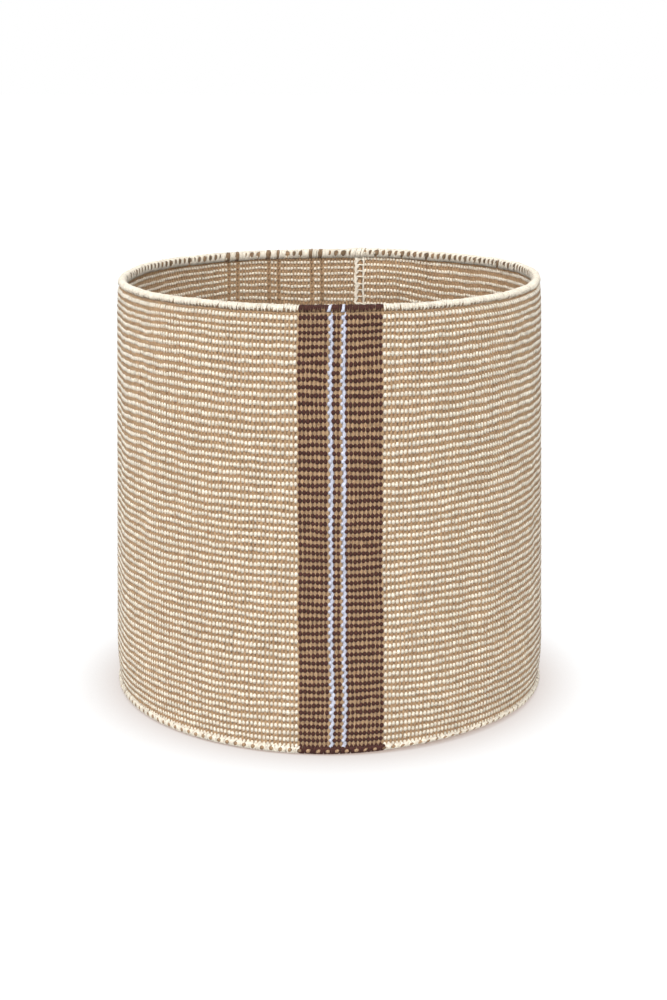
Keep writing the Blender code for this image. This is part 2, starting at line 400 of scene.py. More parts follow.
class Bench:
    """The work bench: the few modelling steps that every piece is made with."""

    @staticmethod
    def clear() -> None:
        """Put everything down."""
        if bpy.context.object and bpy.context.object.mode != "OBJECT":
            bpy.ops.object.mode_set(mode="OBJECT")
        bpy.ops.object.select_all(action="DESELECT")

    @staticmethod
    def take(piece: bpy.types.Object) -> None:
        """Take up one piece alone.

        Args:
            piece: The piece.
        """
        Bench.clear()
        piece.select_set(True)
        bpy.context.view_layer.objects.active = piece

    @staticmethod
    def named(name: str) -> bpy.types.Object:
        """Name the piece that was just started.

        Args:
            name: The name of the piece and its mesh.

        Returns:
            The piece.
        """
        piece = bpy.context.object
        piece.name = name
        piece.data.name = name
        return piece

    @staticmethod
    def open_all() -> None:
        """Open the piece for shaping, with all of it selected."""
        bpy.ops.object.mode_set(mode="EDIT")
        bpy.ops.mesh.select_all(action="SELECT")

    @staticmethod
    def settle() -> None:
        """Put the piece's place and turn into its mesh."""
        bpy.ops.object.transform_apply(location=True, rotation=True, scale=True)

    @staticmethod
    def draw_yarn(name: str, rings: Sequence[Ring], sides: int = 6) -> bpy.types.Object:
        """Draw a yarn out of a ring, up from its first ring to its last.

        Args:
            name: The piece's name.
            rings: The yarn's rings, from the lowest up.
            sides: How many sides the yarn has.

        Returns:
            The yarn, open at both ends.
        """
        Bench.clear()
        first = rings[0]
        bpy.ops.mesh.primitive_circle_add(vertices=sides, radius=1.0, fill_type="NOTHING",
                                          location=(0.0, first.depth, first.along))
        yarn = Bench.named(name)
        Bench.open_all()
        bpy.ops.transform.resize(value=(first.half_width, first.half_depth, 1.0))
        for before, ring in zip(rings, rings[1:]):
            step = (0.0, ring.depth - before.depth, ring.along - before.along)
            bpy.ops.mesh.extrude_region_move(TRANSFORM_OT_translate={"value": step})
            bpy.ops.transform.resize(value=(ring.half_width / before.half_width,
                                            ring.half_depth / before.half_depth, 1.0))
        bpy.ops.object.mode_set(mode="OBJECT")
        Bench.settle()
        return yarn

    @staticmethod
    def draw_hoop(name: str, radius: float, half_thickness: float, segments: int,
                  sides: int) -> bpy.types.Object:
        """Draw a hoop of yarn round the basket's axis.

        Args:
            name: The piece's name.
            radius: The hoop's radius.
            half_thickness: The yarn's radius.
            segments: How many segments the hoop has.
            sides: How many sides the yarn has.

        Returns:
            The hoop, at the height of the floor.
        """
        Bench.clear()
        bpy.ops.mesh.primitive_torus_add(major_segments=segments, minor_segments=sides,
                                         major_radius=radius, minor_radius=half_thickness)
        bpy.ops.object.shade_smooth()
        return Bench.named(name)

    @staticmethod
    def close_ends(piece: bpy.types.Object) -> None:
        """Close a piece's open ends, point its faces outwards and smooth it.

        Args:
            piece: The piece.
        """
        Bench.take(piece)
        bpy.ops.object.mode_set(mode="EDIT")
        bpy.ops.mesh.select_mode(type="VERT")
        bpy.ops.mesh.select_all(action="DESELECT")
        bpy.ops.mesh.select_non_manifold()
        bpy.ops.mesh.fill_holes(sides=0)
        bpy.ops.mesh.select_all(action="SELECT")
        bpy.ops.mesh.normals_make_consistent(inside=False)
        bpy.ops.object.mode_set(mode="OBJECT")
        bpy.ops.object.shade_smooth()

    @staticmethod
    def repeat(piece: bpy.types.Object, count: int, step: Triple, weld: bool = False) -> None:
        """Repeat a piece along a line and keep it as one mesh.

        Args:
            piece: The piece to repeat.
            count: How many there are in all.
            step: From one copy to the next.
            weld: Whether neighbours join where they meet.
        """
        Bench.take(piece)
        array = piece.modifiers.new("repeat", "ARRAY")
        array.count = count
        array.use_relative_offset = False
        array.use_constant_offset = True
        array.constant_offset_displace = step
        array.use_merge_vertices = weld
        array.merge_threshold = WELD_DISTANCE
        bpy.ops.object.modifier_apply(modifier=array.name)

    @staticmethod
    def points(piece: bpy.types.Object) -> np.ndarray:
        """Read a piece's points.

        Args:
            piece: The piece.

        Returns:
            One row of x, y and z for each point.
        """
        flat = np.empty(len(piece.data.vertices) * 3, np.float32)
        piece.data.vertices.foreach_get("co", flat)
        return flat.reshape(-1, 3).astype(np.float64)

    @staticmethod
    def lay(piece: bpy.types.Object, points: np.ndarray, shade: np.ndarray | float,
            run: np.ndarray) -> bpy.types.Object:
        """Put the piece's points in their places, and write what the finishes read from it.

        Args:
            piece: The piece.
            points: The points' places.
            shade: How light its yarn is, about 1. On the rim's loops and knots it also holds painted shade.
            run: For each point its direction from the yarn's middle, and its place along the yarn.

        Returns:
            The same piece.
        """
        piece.data.vertices.foreach_set("co", points.astype(np.float32).ravel())
        piece.data.update()
        tone = piece.data.attributes.new(SHADE_ATTRIBUTE, "FLOAT", "POINT")
        tone.data.foreach_set("value", np.broadcast_to(shade, len(points)).astype(np.float32))
        lay = piece.data.attributes.new(LAY_ATTRIBUTE, "FLOAT_VECTOR", "POINT")
        lay.data.foreach_set("vector", run.astype(np.float32).ravel())
        return piece


class Copies:
    """A row of like pieces in one mesh, each with its number and its own seeded differences."""

    def __init__(self, piece: bpy.types.Object, count: int, seed: int, step: float = COPY_STEP) -> None:
        """Make the row and number its points.

        Args:
            piece: The piece, which becomes the whole row.
            count: How many there are in all.
            seed: The seed of their differences.
            step: How far along x one is from the next.
        """
        Bench.repeat(piece, count, (step, 0.0, 0.0))
        self.piece = piece
        self.count = count
        self.points = Bench.points(piece)
        self.number = np.arange(len(self.points)) // (len(self.points) // count)
        self.side = self.points[:, 0] - self.number * step
        self.random = np.random.default_rng(seed)

    def differ(self, spread: float, group: int = 1) -> np.ndarray:
        """A random value for each copy, or each group of so many copies, at each of its points."""
        return self.random.normal(0.0, spread, self.count // group)[self.number // group]


class Graph:
    """A short way to place and join shader nodes."""

    def __init__(self, tree: bpy.types.NodeTree) -> None:
        """Work on a tree."""
        self.tree = tree

    def node(self, kind: str, inputs: dict | None = None, **settings: object) -> bpy.types.Node:
        """Place a node.

        Args:
            kind: The node's type.
            inputs: For its sockets, by name or number, a value or the socket that feeds it.
            settings: The node's own settings.

        Returns:
            The node.
        """
        node = self.tree.nodes.new(kind)
        for name, value in settings.items():
            setattr(node, name, value)
        for key, value in (inputs or {}).items():
            if isinstance(value, bpy.types.NodeSocket):
                self.tree.links.new(value, node.inputs[key])
            else:
                node.inputs[key].default_value = value
        return node

    def math(self, operation: str, *values: object) -> bpy.types.NodeSocket:
        """The result of a Math node on values or sockets."""
        return self.node("ShaderNodeMath", dict(enumerate(values)), operation=operation).outputs[0]

    def blend(self, factor: object, first: object, second: object,
              kind: str = "MIX") -> bpy.types.NodeSocket:
        """The colour of a Mix node between two colours."""
        inputs = {0: factor, 6: first, 7: second}
        return self.node("ShaderNodeMix", inputs, data_type="RGBA", blend_type=kind).outputs[2]

    def span(self, value: object, given: tuple[float, float] = (0.0, 1.0),
             wanted: tuple[float, float] = (0.0, 1.0)) -> bpy.types.NodeSocket:
        """The result of a Map Range node, from the given span to the wanted one."""
        return self.node("ShaderNodeMapRange", dict(enumerate((value, *given, *wanted)))).outputs[0]

    def noise(self, place: object, scale: object, detail: float, roughness: float) -> bpy.types.NodeSocket:
        """The value of a Noise node at a place."""
        inputs = {"Vector": place, "Scale": scale, "Detail": detail, "Roughness": roughness}
        return self.node("ShaderNodeTexNoise", inputs).outputs[0]

    def mixed(self, factor: object, first: bpy.types.Node, second: bpy.types.Node) -> bpy.types.NodeSocket:
        """The shader of a Mix Shader node between two nodes' shaders."""
        inputs = {0: factor, 1: first.outputs[0], 2: second.outputs[0]}
        return self.node("ShaderNodeMixShader", inputs).outputs[0]


class SharedEffects:
    """The shader groups that all yarns share."""

    RIDGE_POWER = 0.6
    FIBRE_SPAN = (0.28, 0.72)
    CLOUD_SPAN = (0.3, 0.7)
    FLECK_SPAN = (0.62, 0.74)
    PLY_SHADE_SHARE = 0.45
    FIBRE_SHARE = 0.35
    LEAST_SHARE = 0.20
    CLOUD_TONES = (0.95, 1.04)
    MOTTLE_TONES = (0.86, 1.06)

    def __init__(self) -> None:
        """Build each group once."""
        self.plies = self._plies()
        self.fibres = self._fibres()
        self.heather = self._heather()

    @staticmethod
    def _group(name: str, inputs: dict[str, str], outputs: dict[str, str]) -> Graph:
        """Start a shader group.

        Args:
            name: The group's name.
            inputs: The type of each input, by name.
            outputs: The type of each output, by name.

        Returns:
            The graph of the group, with only its sockets.
        """
        tree = bpy.data.node_groups.new(name, "ShaderNodeTree")
        for way, sockets in (("INPUT", inputs), ("OUTPUT", outputs)):
            for key, kind in sockets.items():
                tree.interface.new_socket(name=key, in_out=way, socket_type=kind)
        return Graph(tree)

    def _plies(self) -> bpy.types.ShaderNodeTree:
        """Build the ridges of a yarn's twisted plies.

        Returns:
            The group.
        """
        graph = self._group("twisted_plies", {"Plies": FLOAT, "Twist Length": FLOAT}, {"Ridge": FLOAT})
        given = graph.node("NodeGroupInput").outputs
        lay = graph.node("ShaderNodeAttribute", attribute_name=LAY_ATTRIBUTE)
        parts = graph.node("ShaderNodeSeparateXYZ", {0: lay.outputs["Vector"]}).outputs
        around = graph.math("MULTIPLY", graph.math("ARCTAN2", parts[1], parts[0]), given["Plies"])
        turns = graph.math("DIVIDE", parts[2], given["Twist Length"])
        wave = graph.math("SINE", graph.math("ADD", around, graph.math("MULTIPLY", turns, 2.0 * math.pi)))
        ridge = graph.math("POWER", graph.math("ABSOLUTE", wave), self.RIDGE_POWER)
        graph.node("NodeGroupOutput", {"Ridge": ridge})
        return graph.tree

    def _fibres(self) -> bpy.types.ShaderNodeTree:
        """Build the fine fibres of a yarn, and slower changes in how it took its dye.

        Returns:
            The group.
        """
        looks = {"Fibre": (3.0, 0.65, self.FIBRE_SPAN), "Cloud": (2.0, 0.55, self.CLOUD_SPAN),
                 "Mottle": (2.0, 0.6, self.CLOUD_SPAN)}
        graph = self._group("spun_fibres", {f"{name} Scale": FLOAT for name in looks},
                            dict.fromkeys(looks, FLOAT))
        given = graph.node("NodeGroupInput").outputs
        place = graph.node("ShaderNodeTexCoord").outputs["Object"]
        made = {name: graph.span(graph.noise(place, given[f"{name} Scale"], detail, roughness), span)
                for name, (detail, roughness, span) in looks.items()}
        graph.node("NodeGroupOutput", made)
        return graph.tree

    def _heather(self) -> bpy.types.ShaderNodeTree:
        """Build a yarn's colour: painted shade in the grooves between its plies, deeper among darker fibres,
        flecked, lighter or darker by float.

        Returns:
            The group.
        """
        colours = dict.fromkeys(("Light", "Deep", "Fleck"), COLOUR)
        values = dict.fromkeys(("Ridge", "Fibre", "Cloud", "Mottle", "Fleck Scale", "Fleck Amount"), FLOAT)
        graph = self._group("heathered_colour", colours | values, {"Colour": COLOUR})
        given = graph.node("NodeGroupInput").outputs
        shade = graph.node("ShaderNodeAttribute", attribute_name=SHADE_ATTRIBUTE).outputs["Fac"]
        place = graph.node("ShaderNodeTexCoord").outputs["Object"]
        # Painted shade: the colour goes from light on the plies' crowns to deep in the grooves between them,
        # mixed with the fibres' own darker and lighter tone.
        ridge = graph.math("MULTIPLY", given["Ridge"], self.PLY_SHADE_SHARE)
        fibre = graph.math("MULTIPLY", given["Fibre"], self.FIBRE_SHARE)
        body = graph.math("ADD", graph.math("ADD", ridge, fibre), self.LEAST_SHARE)
        spots = graph.span(graph.noise(place, given["Fleck Scale"], 1.0, 0.5), self.FLECK_SPAN)
        colour = graph.blend(graph.math("MULTIPLY", spots, given["Fleck Amount"]),
                             graph.blend(body, given["Deep"], given["Light"]), given["Fleck"])
        tone = graph.math("MULTIPLY", shade, graph.span(given["Cloud"], wanted=self.CLOUD_TONES))
        tone = graph.math("MULTIPLY", tone, graph.span(given["Mottle"], wanted=self.MOTTLE_TONES))
        grey = graph.node("ShaderNodeCombineColor", {0: tone, 1: tone, 2: tone}).outputs[0]
        graph.node("NodeGroupOutput", {"Colour": graph.blend(1.0, colour, grey, "MULTIPLY")})
        return graph.tree


@dataclass(frozen=True)
class YarnFinish:
    """How a dyed, plied and hand-spun yarn looks."""

    name: str
    light: Triple
    # The colour in the ply grooves: painted shade there, mixed with the darker fibres' own colour.
    deep: Triple
    fleck: Triple
    fleck_amount: float
    plies: float = 2.0
    twist_length: float = 0.0062
    fibre_scale: float = 2600.0
    cloud_scale: float = 60.0
    mottle_scale: float = 520.0
    fleck_scale: float = 420.0
    ridge_height: float = 0.00016
    fibre_height: float = 0.00005
    bump_strength: float = 0.8
    roughness: tuple[float, float] = (0.82, 0.98)
    sheen: float = 0.14
    sheen_roughness: float = 0.6
    gloss: float = 0.20

    def material(self, effects: SharedEffects) -> bpy.types.Material:
        """Make the finish's material.

        Args:
            effects: The shared shader groups.

        Returns:
            The material.
        """
        material = bpy.data.materials.new(self.name)
        material.use_nodes = True
        material.node_tree.nodes.clear()
        graph = Graph(material.node_tree)
        twist = {"Plies": self.plies, "Twist Length": self.twist_length}
        ridge = graph.node("ShaderNodeGroup", twist, node_tree=effects.plies).outputs["Ridge"]
        scales = {"Fibre Scale": self.fibre_scale, "Cloud Scale": self.cloud_scale,
                  "Mottle Scale": self.mottle_scale}
        spun = graph.node("ShaderNodeGroup", scales, node_tree=effects.fibres).outputs
        heather = graph.node("ShaderNodeGroup", {
            "Light": (*self.light, 1.0), "Deep": (*self.deep, 1.0), "Fleck": (*self.fleck, 1.0),
            "Ridge": ridge, "Fibre": spun["Fibre"], "Cloud": spun["Cloud"], "Mottle": spun["Mottle"],
            "Fleck Scale": self.fleck_scale, "Fleck Amount": self.fleck_amount}, node_tree=effects.heather)
        height = graph.math("ADD", graph.math("MULTIPLY", ridge, self.ridge_height),
                            graph.math("MULTIPLY", spun["Fibre"], self.fibre_height))
        bump = graph.node("ShaderNodeBump", {"Height": height, "Strength": self.bump_strength,
                                             "Distance": 1.0})
        shader = graph.node("ShaderNodeBsdfPrincipled", {
            "Base Color": heather.outputs["Colour"],
            "Roughness": graph.span(spun["Fibre"], wanted=self.roughness),
            "Specular IOR Level": self.gloss, "Sheen Weight": self.sheen,
            "Sheen Roughness": self.sheen_roughness, "Normal": bump.outputs["Normal"]})
        graph.node("ShaderNodeOutputMaterial", {"Surface": shader.outputs[0]})
        return material


# Each yarn's second colour is painted shade for its ply grooves, mixed with its darker fibres' colour.
FINISHES = {
    Yarn.CREAM: YarnFinish("cream_spun_yarn", (0.98, 0.93, 0.83), (0.86, 0.755, 0.58),
                           (0.70, 0.52, 0.33), 0.35),
    Yarn.TAN: YarnFinish("tan_spun_yarn", (0.56, 0.385, 0.228), (0.35, 0.21, 0.115),
                         (0.25, 0.11, 0.045), 0.65),
    Yarn.BROWN: YarnFinish("dark_brown_spun_yarn", (0.104, 0.043, 0.035), (0.048, 0.018, 0.014),
                           (0.024, 0.009, 0.007), 0.4, sheen=0.05, gloss=0.12),
    Yarn.BLUE: YarnFinish("pale_blue_spun_yarn", (0.75, 0.78, 0.90), (0.51, 0.55, 0.74),
                          (0.40, 0.43, 0.66), 0.25),
}


class Dresser:
    """Gives each finished piece its yarn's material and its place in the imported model."""

    def __init__(self) -> None:
        """Make the yarns' materials once."""
        effects = SharedEffects()
        self.materials = {yarn: finish.material(effects) for yarn, finish in FINISHES.items()}

    def hand_in(self, piece: bpy.types.Object, yarn: Yarn, *nodes: str) -> None:
        """Finish a piece.

        Args:
            piece: The piece, in its place.
            yarn: What it is made of.
            nodes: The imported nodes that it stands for.
        """
        piece.data.materials.clear()
        piece.data.materials.append(self.materials[yarn])
        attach(piece, BODY)
        if nodes:
            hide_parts(*nodes)
        LOG.info("%s: %d faces", piece.name, len(piece.data.polygons))


@dataclass(frozen=True)
class Weave:
    """How the two sets of warps pass each other in the cloth.

    The first set makes upright oval beads, on each face in turn. The second set fills the room that they
    leave: it comes forward on each face between two rows of beads, and lies back beside a bead. Heights in
    one repeat are measured from the middle of a row of outer beads. A bead with a shoulder keeps its full
    width that far from its middle, against its reach.
    """

    pick: float
    thickness: float
    bead_width: float = 0.00160
    bead_depth: float = 0.00108
    tip_width: float = 0.00105
    tip_depth: float = 0.00085
    tip_sink: float = 0.00035
    crossing: float = 0.02
    fill_width: float = 0.00160
    fill_depth: float = 0.00180
    fill_rise: float = 0.00050
    shoulder: float = 0.0
    slack: float = 0.01

    def rings(self, warps: WarpSet, reach: float) -> list[Ring]:
        """List the rings of one repeat of a warp.

        Args:
            warps: Which set the warp belongs to.
            reach: How far the first set's outer beads reach up and down, in picks.

        Returns:
            The rings from one ring to its like, two picks on.
        """
        if warps is WarpSet.SECOND:
            middle, sizes = self.thickness / 2.0, (self.fill_width, self.fill_depth)
            beside = Ring(0.0, middle + self.fill_rise, *sizes)
            between = Ring(self.pick, middle - self.fill_rise, *sizes)
            return [beside, between, replace(beside, along=2.0 * self.pick)]
        rings = []
        steps = (-1.0, -self.shoulder, self.shoulder, 1.0) if self.shoulder else (-1.0, 0.0, 1.0)
        for centre, half, outside in ((0.0, reach, True), (1.0, 1.0 - reach - self.crossing, False)):
            for step in steps:
                rings.append(self.bead_ring((centre + step * half) * self.pick, abs(step) < 1.0, outside))
        return rings + [self.bead_ring((2.0 - reach) * self.pick, False, True)]

    def bead_ring(self, along: float, full: bool, outside: bool) -> Ring:
        """One ring of a bead, at its full middle or at one of its tips.

        Args:
            along: Its height in the repeat.
            full: Whether it is in the full part.
            outside: Whether the bead lies on the outer face.

        Returns:
            The ring.
        """
        width, half_depth, sink = ((self.bead_width, self.bead_depth, 0.0) if full
                                   else (self.tip_width, self.tip_depth, self.tip_sink))
        depth = half_depth + sink
        return Ring(along, depth if outside else self.thickness - depth, width, half_depth)

    def place(self, points: np.ndarray, rings: Sequence[Ring]) -> tuple[np.ndarray, ...]:
        """Find each point's place in its yarn.

        Args:
            points: The points of flat warps.
            rings: The rings of one repeat.

        Returns:
            The depth of the yarn's centre, the distance inwards from that centre and the float's number from
            the foot.
        """
        above = points[:, 2] - rings[0].along
        turn = np.floor(above / (2.0 * self.pick) + self.slack)
        part = np.maximum(above - turn * 2.0 * self.pick, 0.0)
        places = [ring.along - rings[0].along for ring in rings]
        centre = np.interp(part, places, [ring.depth for ring in rings])
        half = len(rings) // 2
        number = 2 * turn + (part > (places[half - 1] + places[half]) / 2.0)
        return centre, points[:, 1] - centre, number.astype(int)


@dataclass(frozen=True)
class Bundle:
    """Warps of one set and yarn that are made as one piece."""

    name: str
    yarn: Yarn
    warps: WarpSet
    zones: tuple[str, ...]
    reach: float
    part: int = 0
    parts: int = 1
    tone: float = 1.0
    packed: bool = False

    @property
    def pairs(self) -> np.ndarray:
        """The numbers of the warp pairs whose warps are in the bundle."""
        return np.array_split(zone_pairs(*self.zones), self.parts)[self.part]


@dataclass
class WallCloth:
    """The wall: two sets of upright warps that float over and under each pick of a hidden weft.

    The first set has the coloured warps. The second set is tan, and fills the rows between. A value that
    begins with float says how much the floats differ, and one that begins with warp how much a warp changes
    slowly between the places of its height at which it is held.
    """

    form: BasketForm
    picks: int = 116
    yarn_sides: int = 4
    field_parts: int = 3
    cream_reach: float = 0.54
    stripe_reach: float = 0.56
    line_reach: float = 0.50
    line_tone: float = 0.82
    packed_shoulder: float = 0.42
    packed_rise: float = 0.00080
    foot_end: float = 0.0040
    rim_end: float = 0.0016
    rim_lap: float = 0.0013
    rim_tuck: float = 0.0018
    tuck_start: float = 0.0013
    tuck_height: float = 0.0022
    float_width: float = 0.06
    float_depth: float = 0.05
    float_side: float = 0.00010
    float_sink: float = 0.00009
    float_height: float = 0.00016
    float_shade: float = 0.05
    warp_places: int = 9
    warp_width: float = 0.03
    warp_side: float = 0.00012
    warp_shade: float = 0.035
    weft_half_height: float = 0.00100
    weft_half_depth: float = 0.00035
    weft_segments: int = 64
    weft_shade: float = 0.9

    @property
    def pick(self) -> float:
        """The height of one pick. The last pick lies a little above the wall's top, in the rolled rim."""
        return (self.form.wall_top + self.rim_lap - self.form.wall_foot) / self.picks

    def weave(self, packed: bool = False) -> Weave:
        """How the warps pass each other. Where they are packed, the beads of a row touch."""
        plain = Weave(self.pick, self.form.cloth_thickness)
        return replace(plain, shoulder=self.packed_shoulder, fill_rise=self.packed_rise) if packed else plain

    def bundles(self) -> list[Bundle]:
        """List the bundles that the wall is made of.

        Returns:
            The bundles, from the front stripe round to the left field.
        """
        brown = zones_named("stripe_brown")
        bands = zones_named("back_band")
        lines = zones_named("back_line")
        edges = zones_named("selvedge")
        cream, stripe = self.cream_reach, self.stripe_reach
        made = [
            Bundle("brown_stripe", Yarn.BROWN, WarpSet.FIRST, brown, stripe, packed=True),
            Bundle("tan_stripe", Yarn.TAN, WarpSet.SECOND, brown, stripe, packed=True),
            Bundle("cream_selvedge", Yarn.CREAM, WarpSet.FIRST, edges, cream),
            Bundle("tan_selvedge", Yarn.TAN, WarpSet.SECOND, edges, cream),
            Bundle("cream_back_bands", Yarn.CREAM, WarpSet.FIRST, bands, cream),
            Bundle("tan_back_lines", Yarn.TAN, WarpSet.FIRST, lines, cream, tone=self.line_tone),
            Bundle("tan_back", Yarn.TAN, WarpSet.SECOND, bands + lines, cream),
        ]
        for zone in zones_named("stripe_blue"):
            made += [Bundle(zone.removeprefix("stripe_"), Yarn.BLUE, warps, (zone,), self.line_reach)
                     for warps in WarpSet]
        for zone in zones_named("field"):
            made += [Bundle(f"cream_{zone}_{part + 1}", Yarn.CREAM, WarpSet.FIRST, (zone,), cream, part,
                            self.field_parts) for part in range(self.field_parts)]
            made.append(Bundle(f"tan_{zone}_1", Yarn.TAN, WarpSet.SECOND, (zone,), cream))
        return made

    def lay_warps(self, warp: bpy.types.Object, bundle: Bundle, rings: Sequence[Ring],
                  seed: int) -> bpy.types.Object:
        """Make a bundle of one warp, give each float its own small differences and lay it on the wall.

        Args:
            warp: The warp, upright and flat.
            bundle: Which bundle it is for.
            rings: The rings of one repeat.
            seed: The seed of its differences.

        Returns:
            The bundle's warps, in place.
        """
        weave, pair = self.weave(bundle.packed), self.form.pair_width
        warps = Copies(warp, len(bundle.pairs), seed, pair)
        points, own, side = warps.points, warps.number, warps.side
        centre, inward, number = weave.place(points, rings)
        lowest, highest = points[:, 2].min(), points[:, 2].max()
        height = np.where(points[:, 2] < lowest + WELD_DISTANCE, self.foot_end, points[:, 2])
        height = np.where(points[:, 2] > highest - WELD_DISTANCE, self.form.wall_top + self.rim_end, height)
        free = (height > self.foot_end) & (height < self.form.wall_top)
        number = np.clip(number, 0, self.picks - 1)

        def per_float(spread: float) -> np.ndarray:
            """A random value for each float, at each of its points."""
            values = warps.random.normal(0.0, spread, (warps.count, self.picks))
            return np.where(free, values[own, number], 0.0)

        def per_warp(spread: float) -> np.ndarray:
            """Let a random value change slowly up each warp.

            Args:
                spread: The spread of the values at the places that hold it.

            Returns:
                The value at each point.
            """
            values = warps.random.normal(0.0, spread, (warps.count, self.warp_places))
            place = points[:, 2] / self.form.height * (self.warp_places - 1.0)
            low = np.clip(place.astype(int), 0, self.warp_places - 2)
            part = ease(place - low)
            return values[own, low] * (1.0 - part) + values[own, low + 1] * part

        width = 1.0 + per_float(self.float_width) + per_warp(self.warp_width)
        depth = 1.0 + per_float(self.float_depth)
        roll_foot = self.form.height - 2.0 * self.form.roll_radius
        tuck = self.rim_tuck * ease((height - roll_foot + self.tuck_start) / self.tuck_height)
        around = ((bundle.pairs[own] + bundle.warps.value) * pair + per_warp(self.warp_side)
                  + per_float(self.float_side))
        flat = np.column_stack((around + side * width,
                                centre + inward * depth + tuck + per_float(self.float_sink),
                                height + per_float(self.float_height)))
        shade = bundle.tone * (1.0 + per_warp(self.warp_shade) + per_float(self.float_shade))
        run = np.column_stack((side / weave.bead_width, inward / weave.bead_depth, points[:, 2]))
        return Bench.lay(warp, self.form.on_wall(flat), shade, run)

    def weft(self) -> bpy.types.Object:
        """Model the weft: one flat hoop of yarn for each pick, between the two faces of the cloth.

        Returns:
            All picks of the weft, in place.
        """
        weft = Bench.draw_hoop("weft", self.form.rim_radius, self.weft_half_depth, self.weft_segments,
                               self.yarn_sides)
        Bench.open_all()
        bpy.ops.transform.resize(value=(1.0, 1.0, self.weft_half_height / self.weft_half_depth))
        bpy.ops.object.mode_set(mode="OBJECT")
        Bench.repeat(weft, self.picks, (0.0, 0.0, self.pick))
        points = Bench.points(weft)
        _, around, inward = self.form.unroll(points)
        height = points[:, 2] + self.form.wall_foot + self.pick / 2.0
        flat = np.column_stack((around, self.form.cloth_thickness / 2.0 + inward, height))
        run = np.column_stack((inward / self.weft_half_depth, np.sin(height / self.pick), around))
        return Bench.lay(weft, self.form.on_wall(flat), self.weft_shade, run)

    def build(self, dresser: Dresser) -> None:
        """Make the wall's cloth.

        Args:
            dresser: What finishes the pieces.
        """
        first_row = self.form.wall_foot + self.pick / 2.0
        for seed, bundle in enumerate(self.bundles(), 100):
            rings = [replace(ring, along=ring.along + first_row)
                     for ring in self.weave(bundle.packed).rings(bundle.warps, bundle.reach)]
            name = f"{bundle.warps.name.lower()}_warps_{bundle.name}"
            warp = Bench.draw_yarn(name, rings, self.yarn_sides)
            Bench.repeat(warp, self.picks // 2, (0.0, 0.0, 2.0 * self.pick), weld=True)
            Bench.close_ends(warp)
            dresser.hand_in(self.lay_warps(warp, bundle, rings, seed), bundle.yarn,
                            *(f"wall_{zone}" for zone in bundle.zones))
        dresser.hand_in(self.weft(), Yarn.TAN)


@dataclass(frozen=True)
class Rail:
    """An upright run of the lacing yarn. Its place is in warp pairs from the joint's middle."""

    kind: str
    place: float
    radius: float
    wander: float
    swell: float


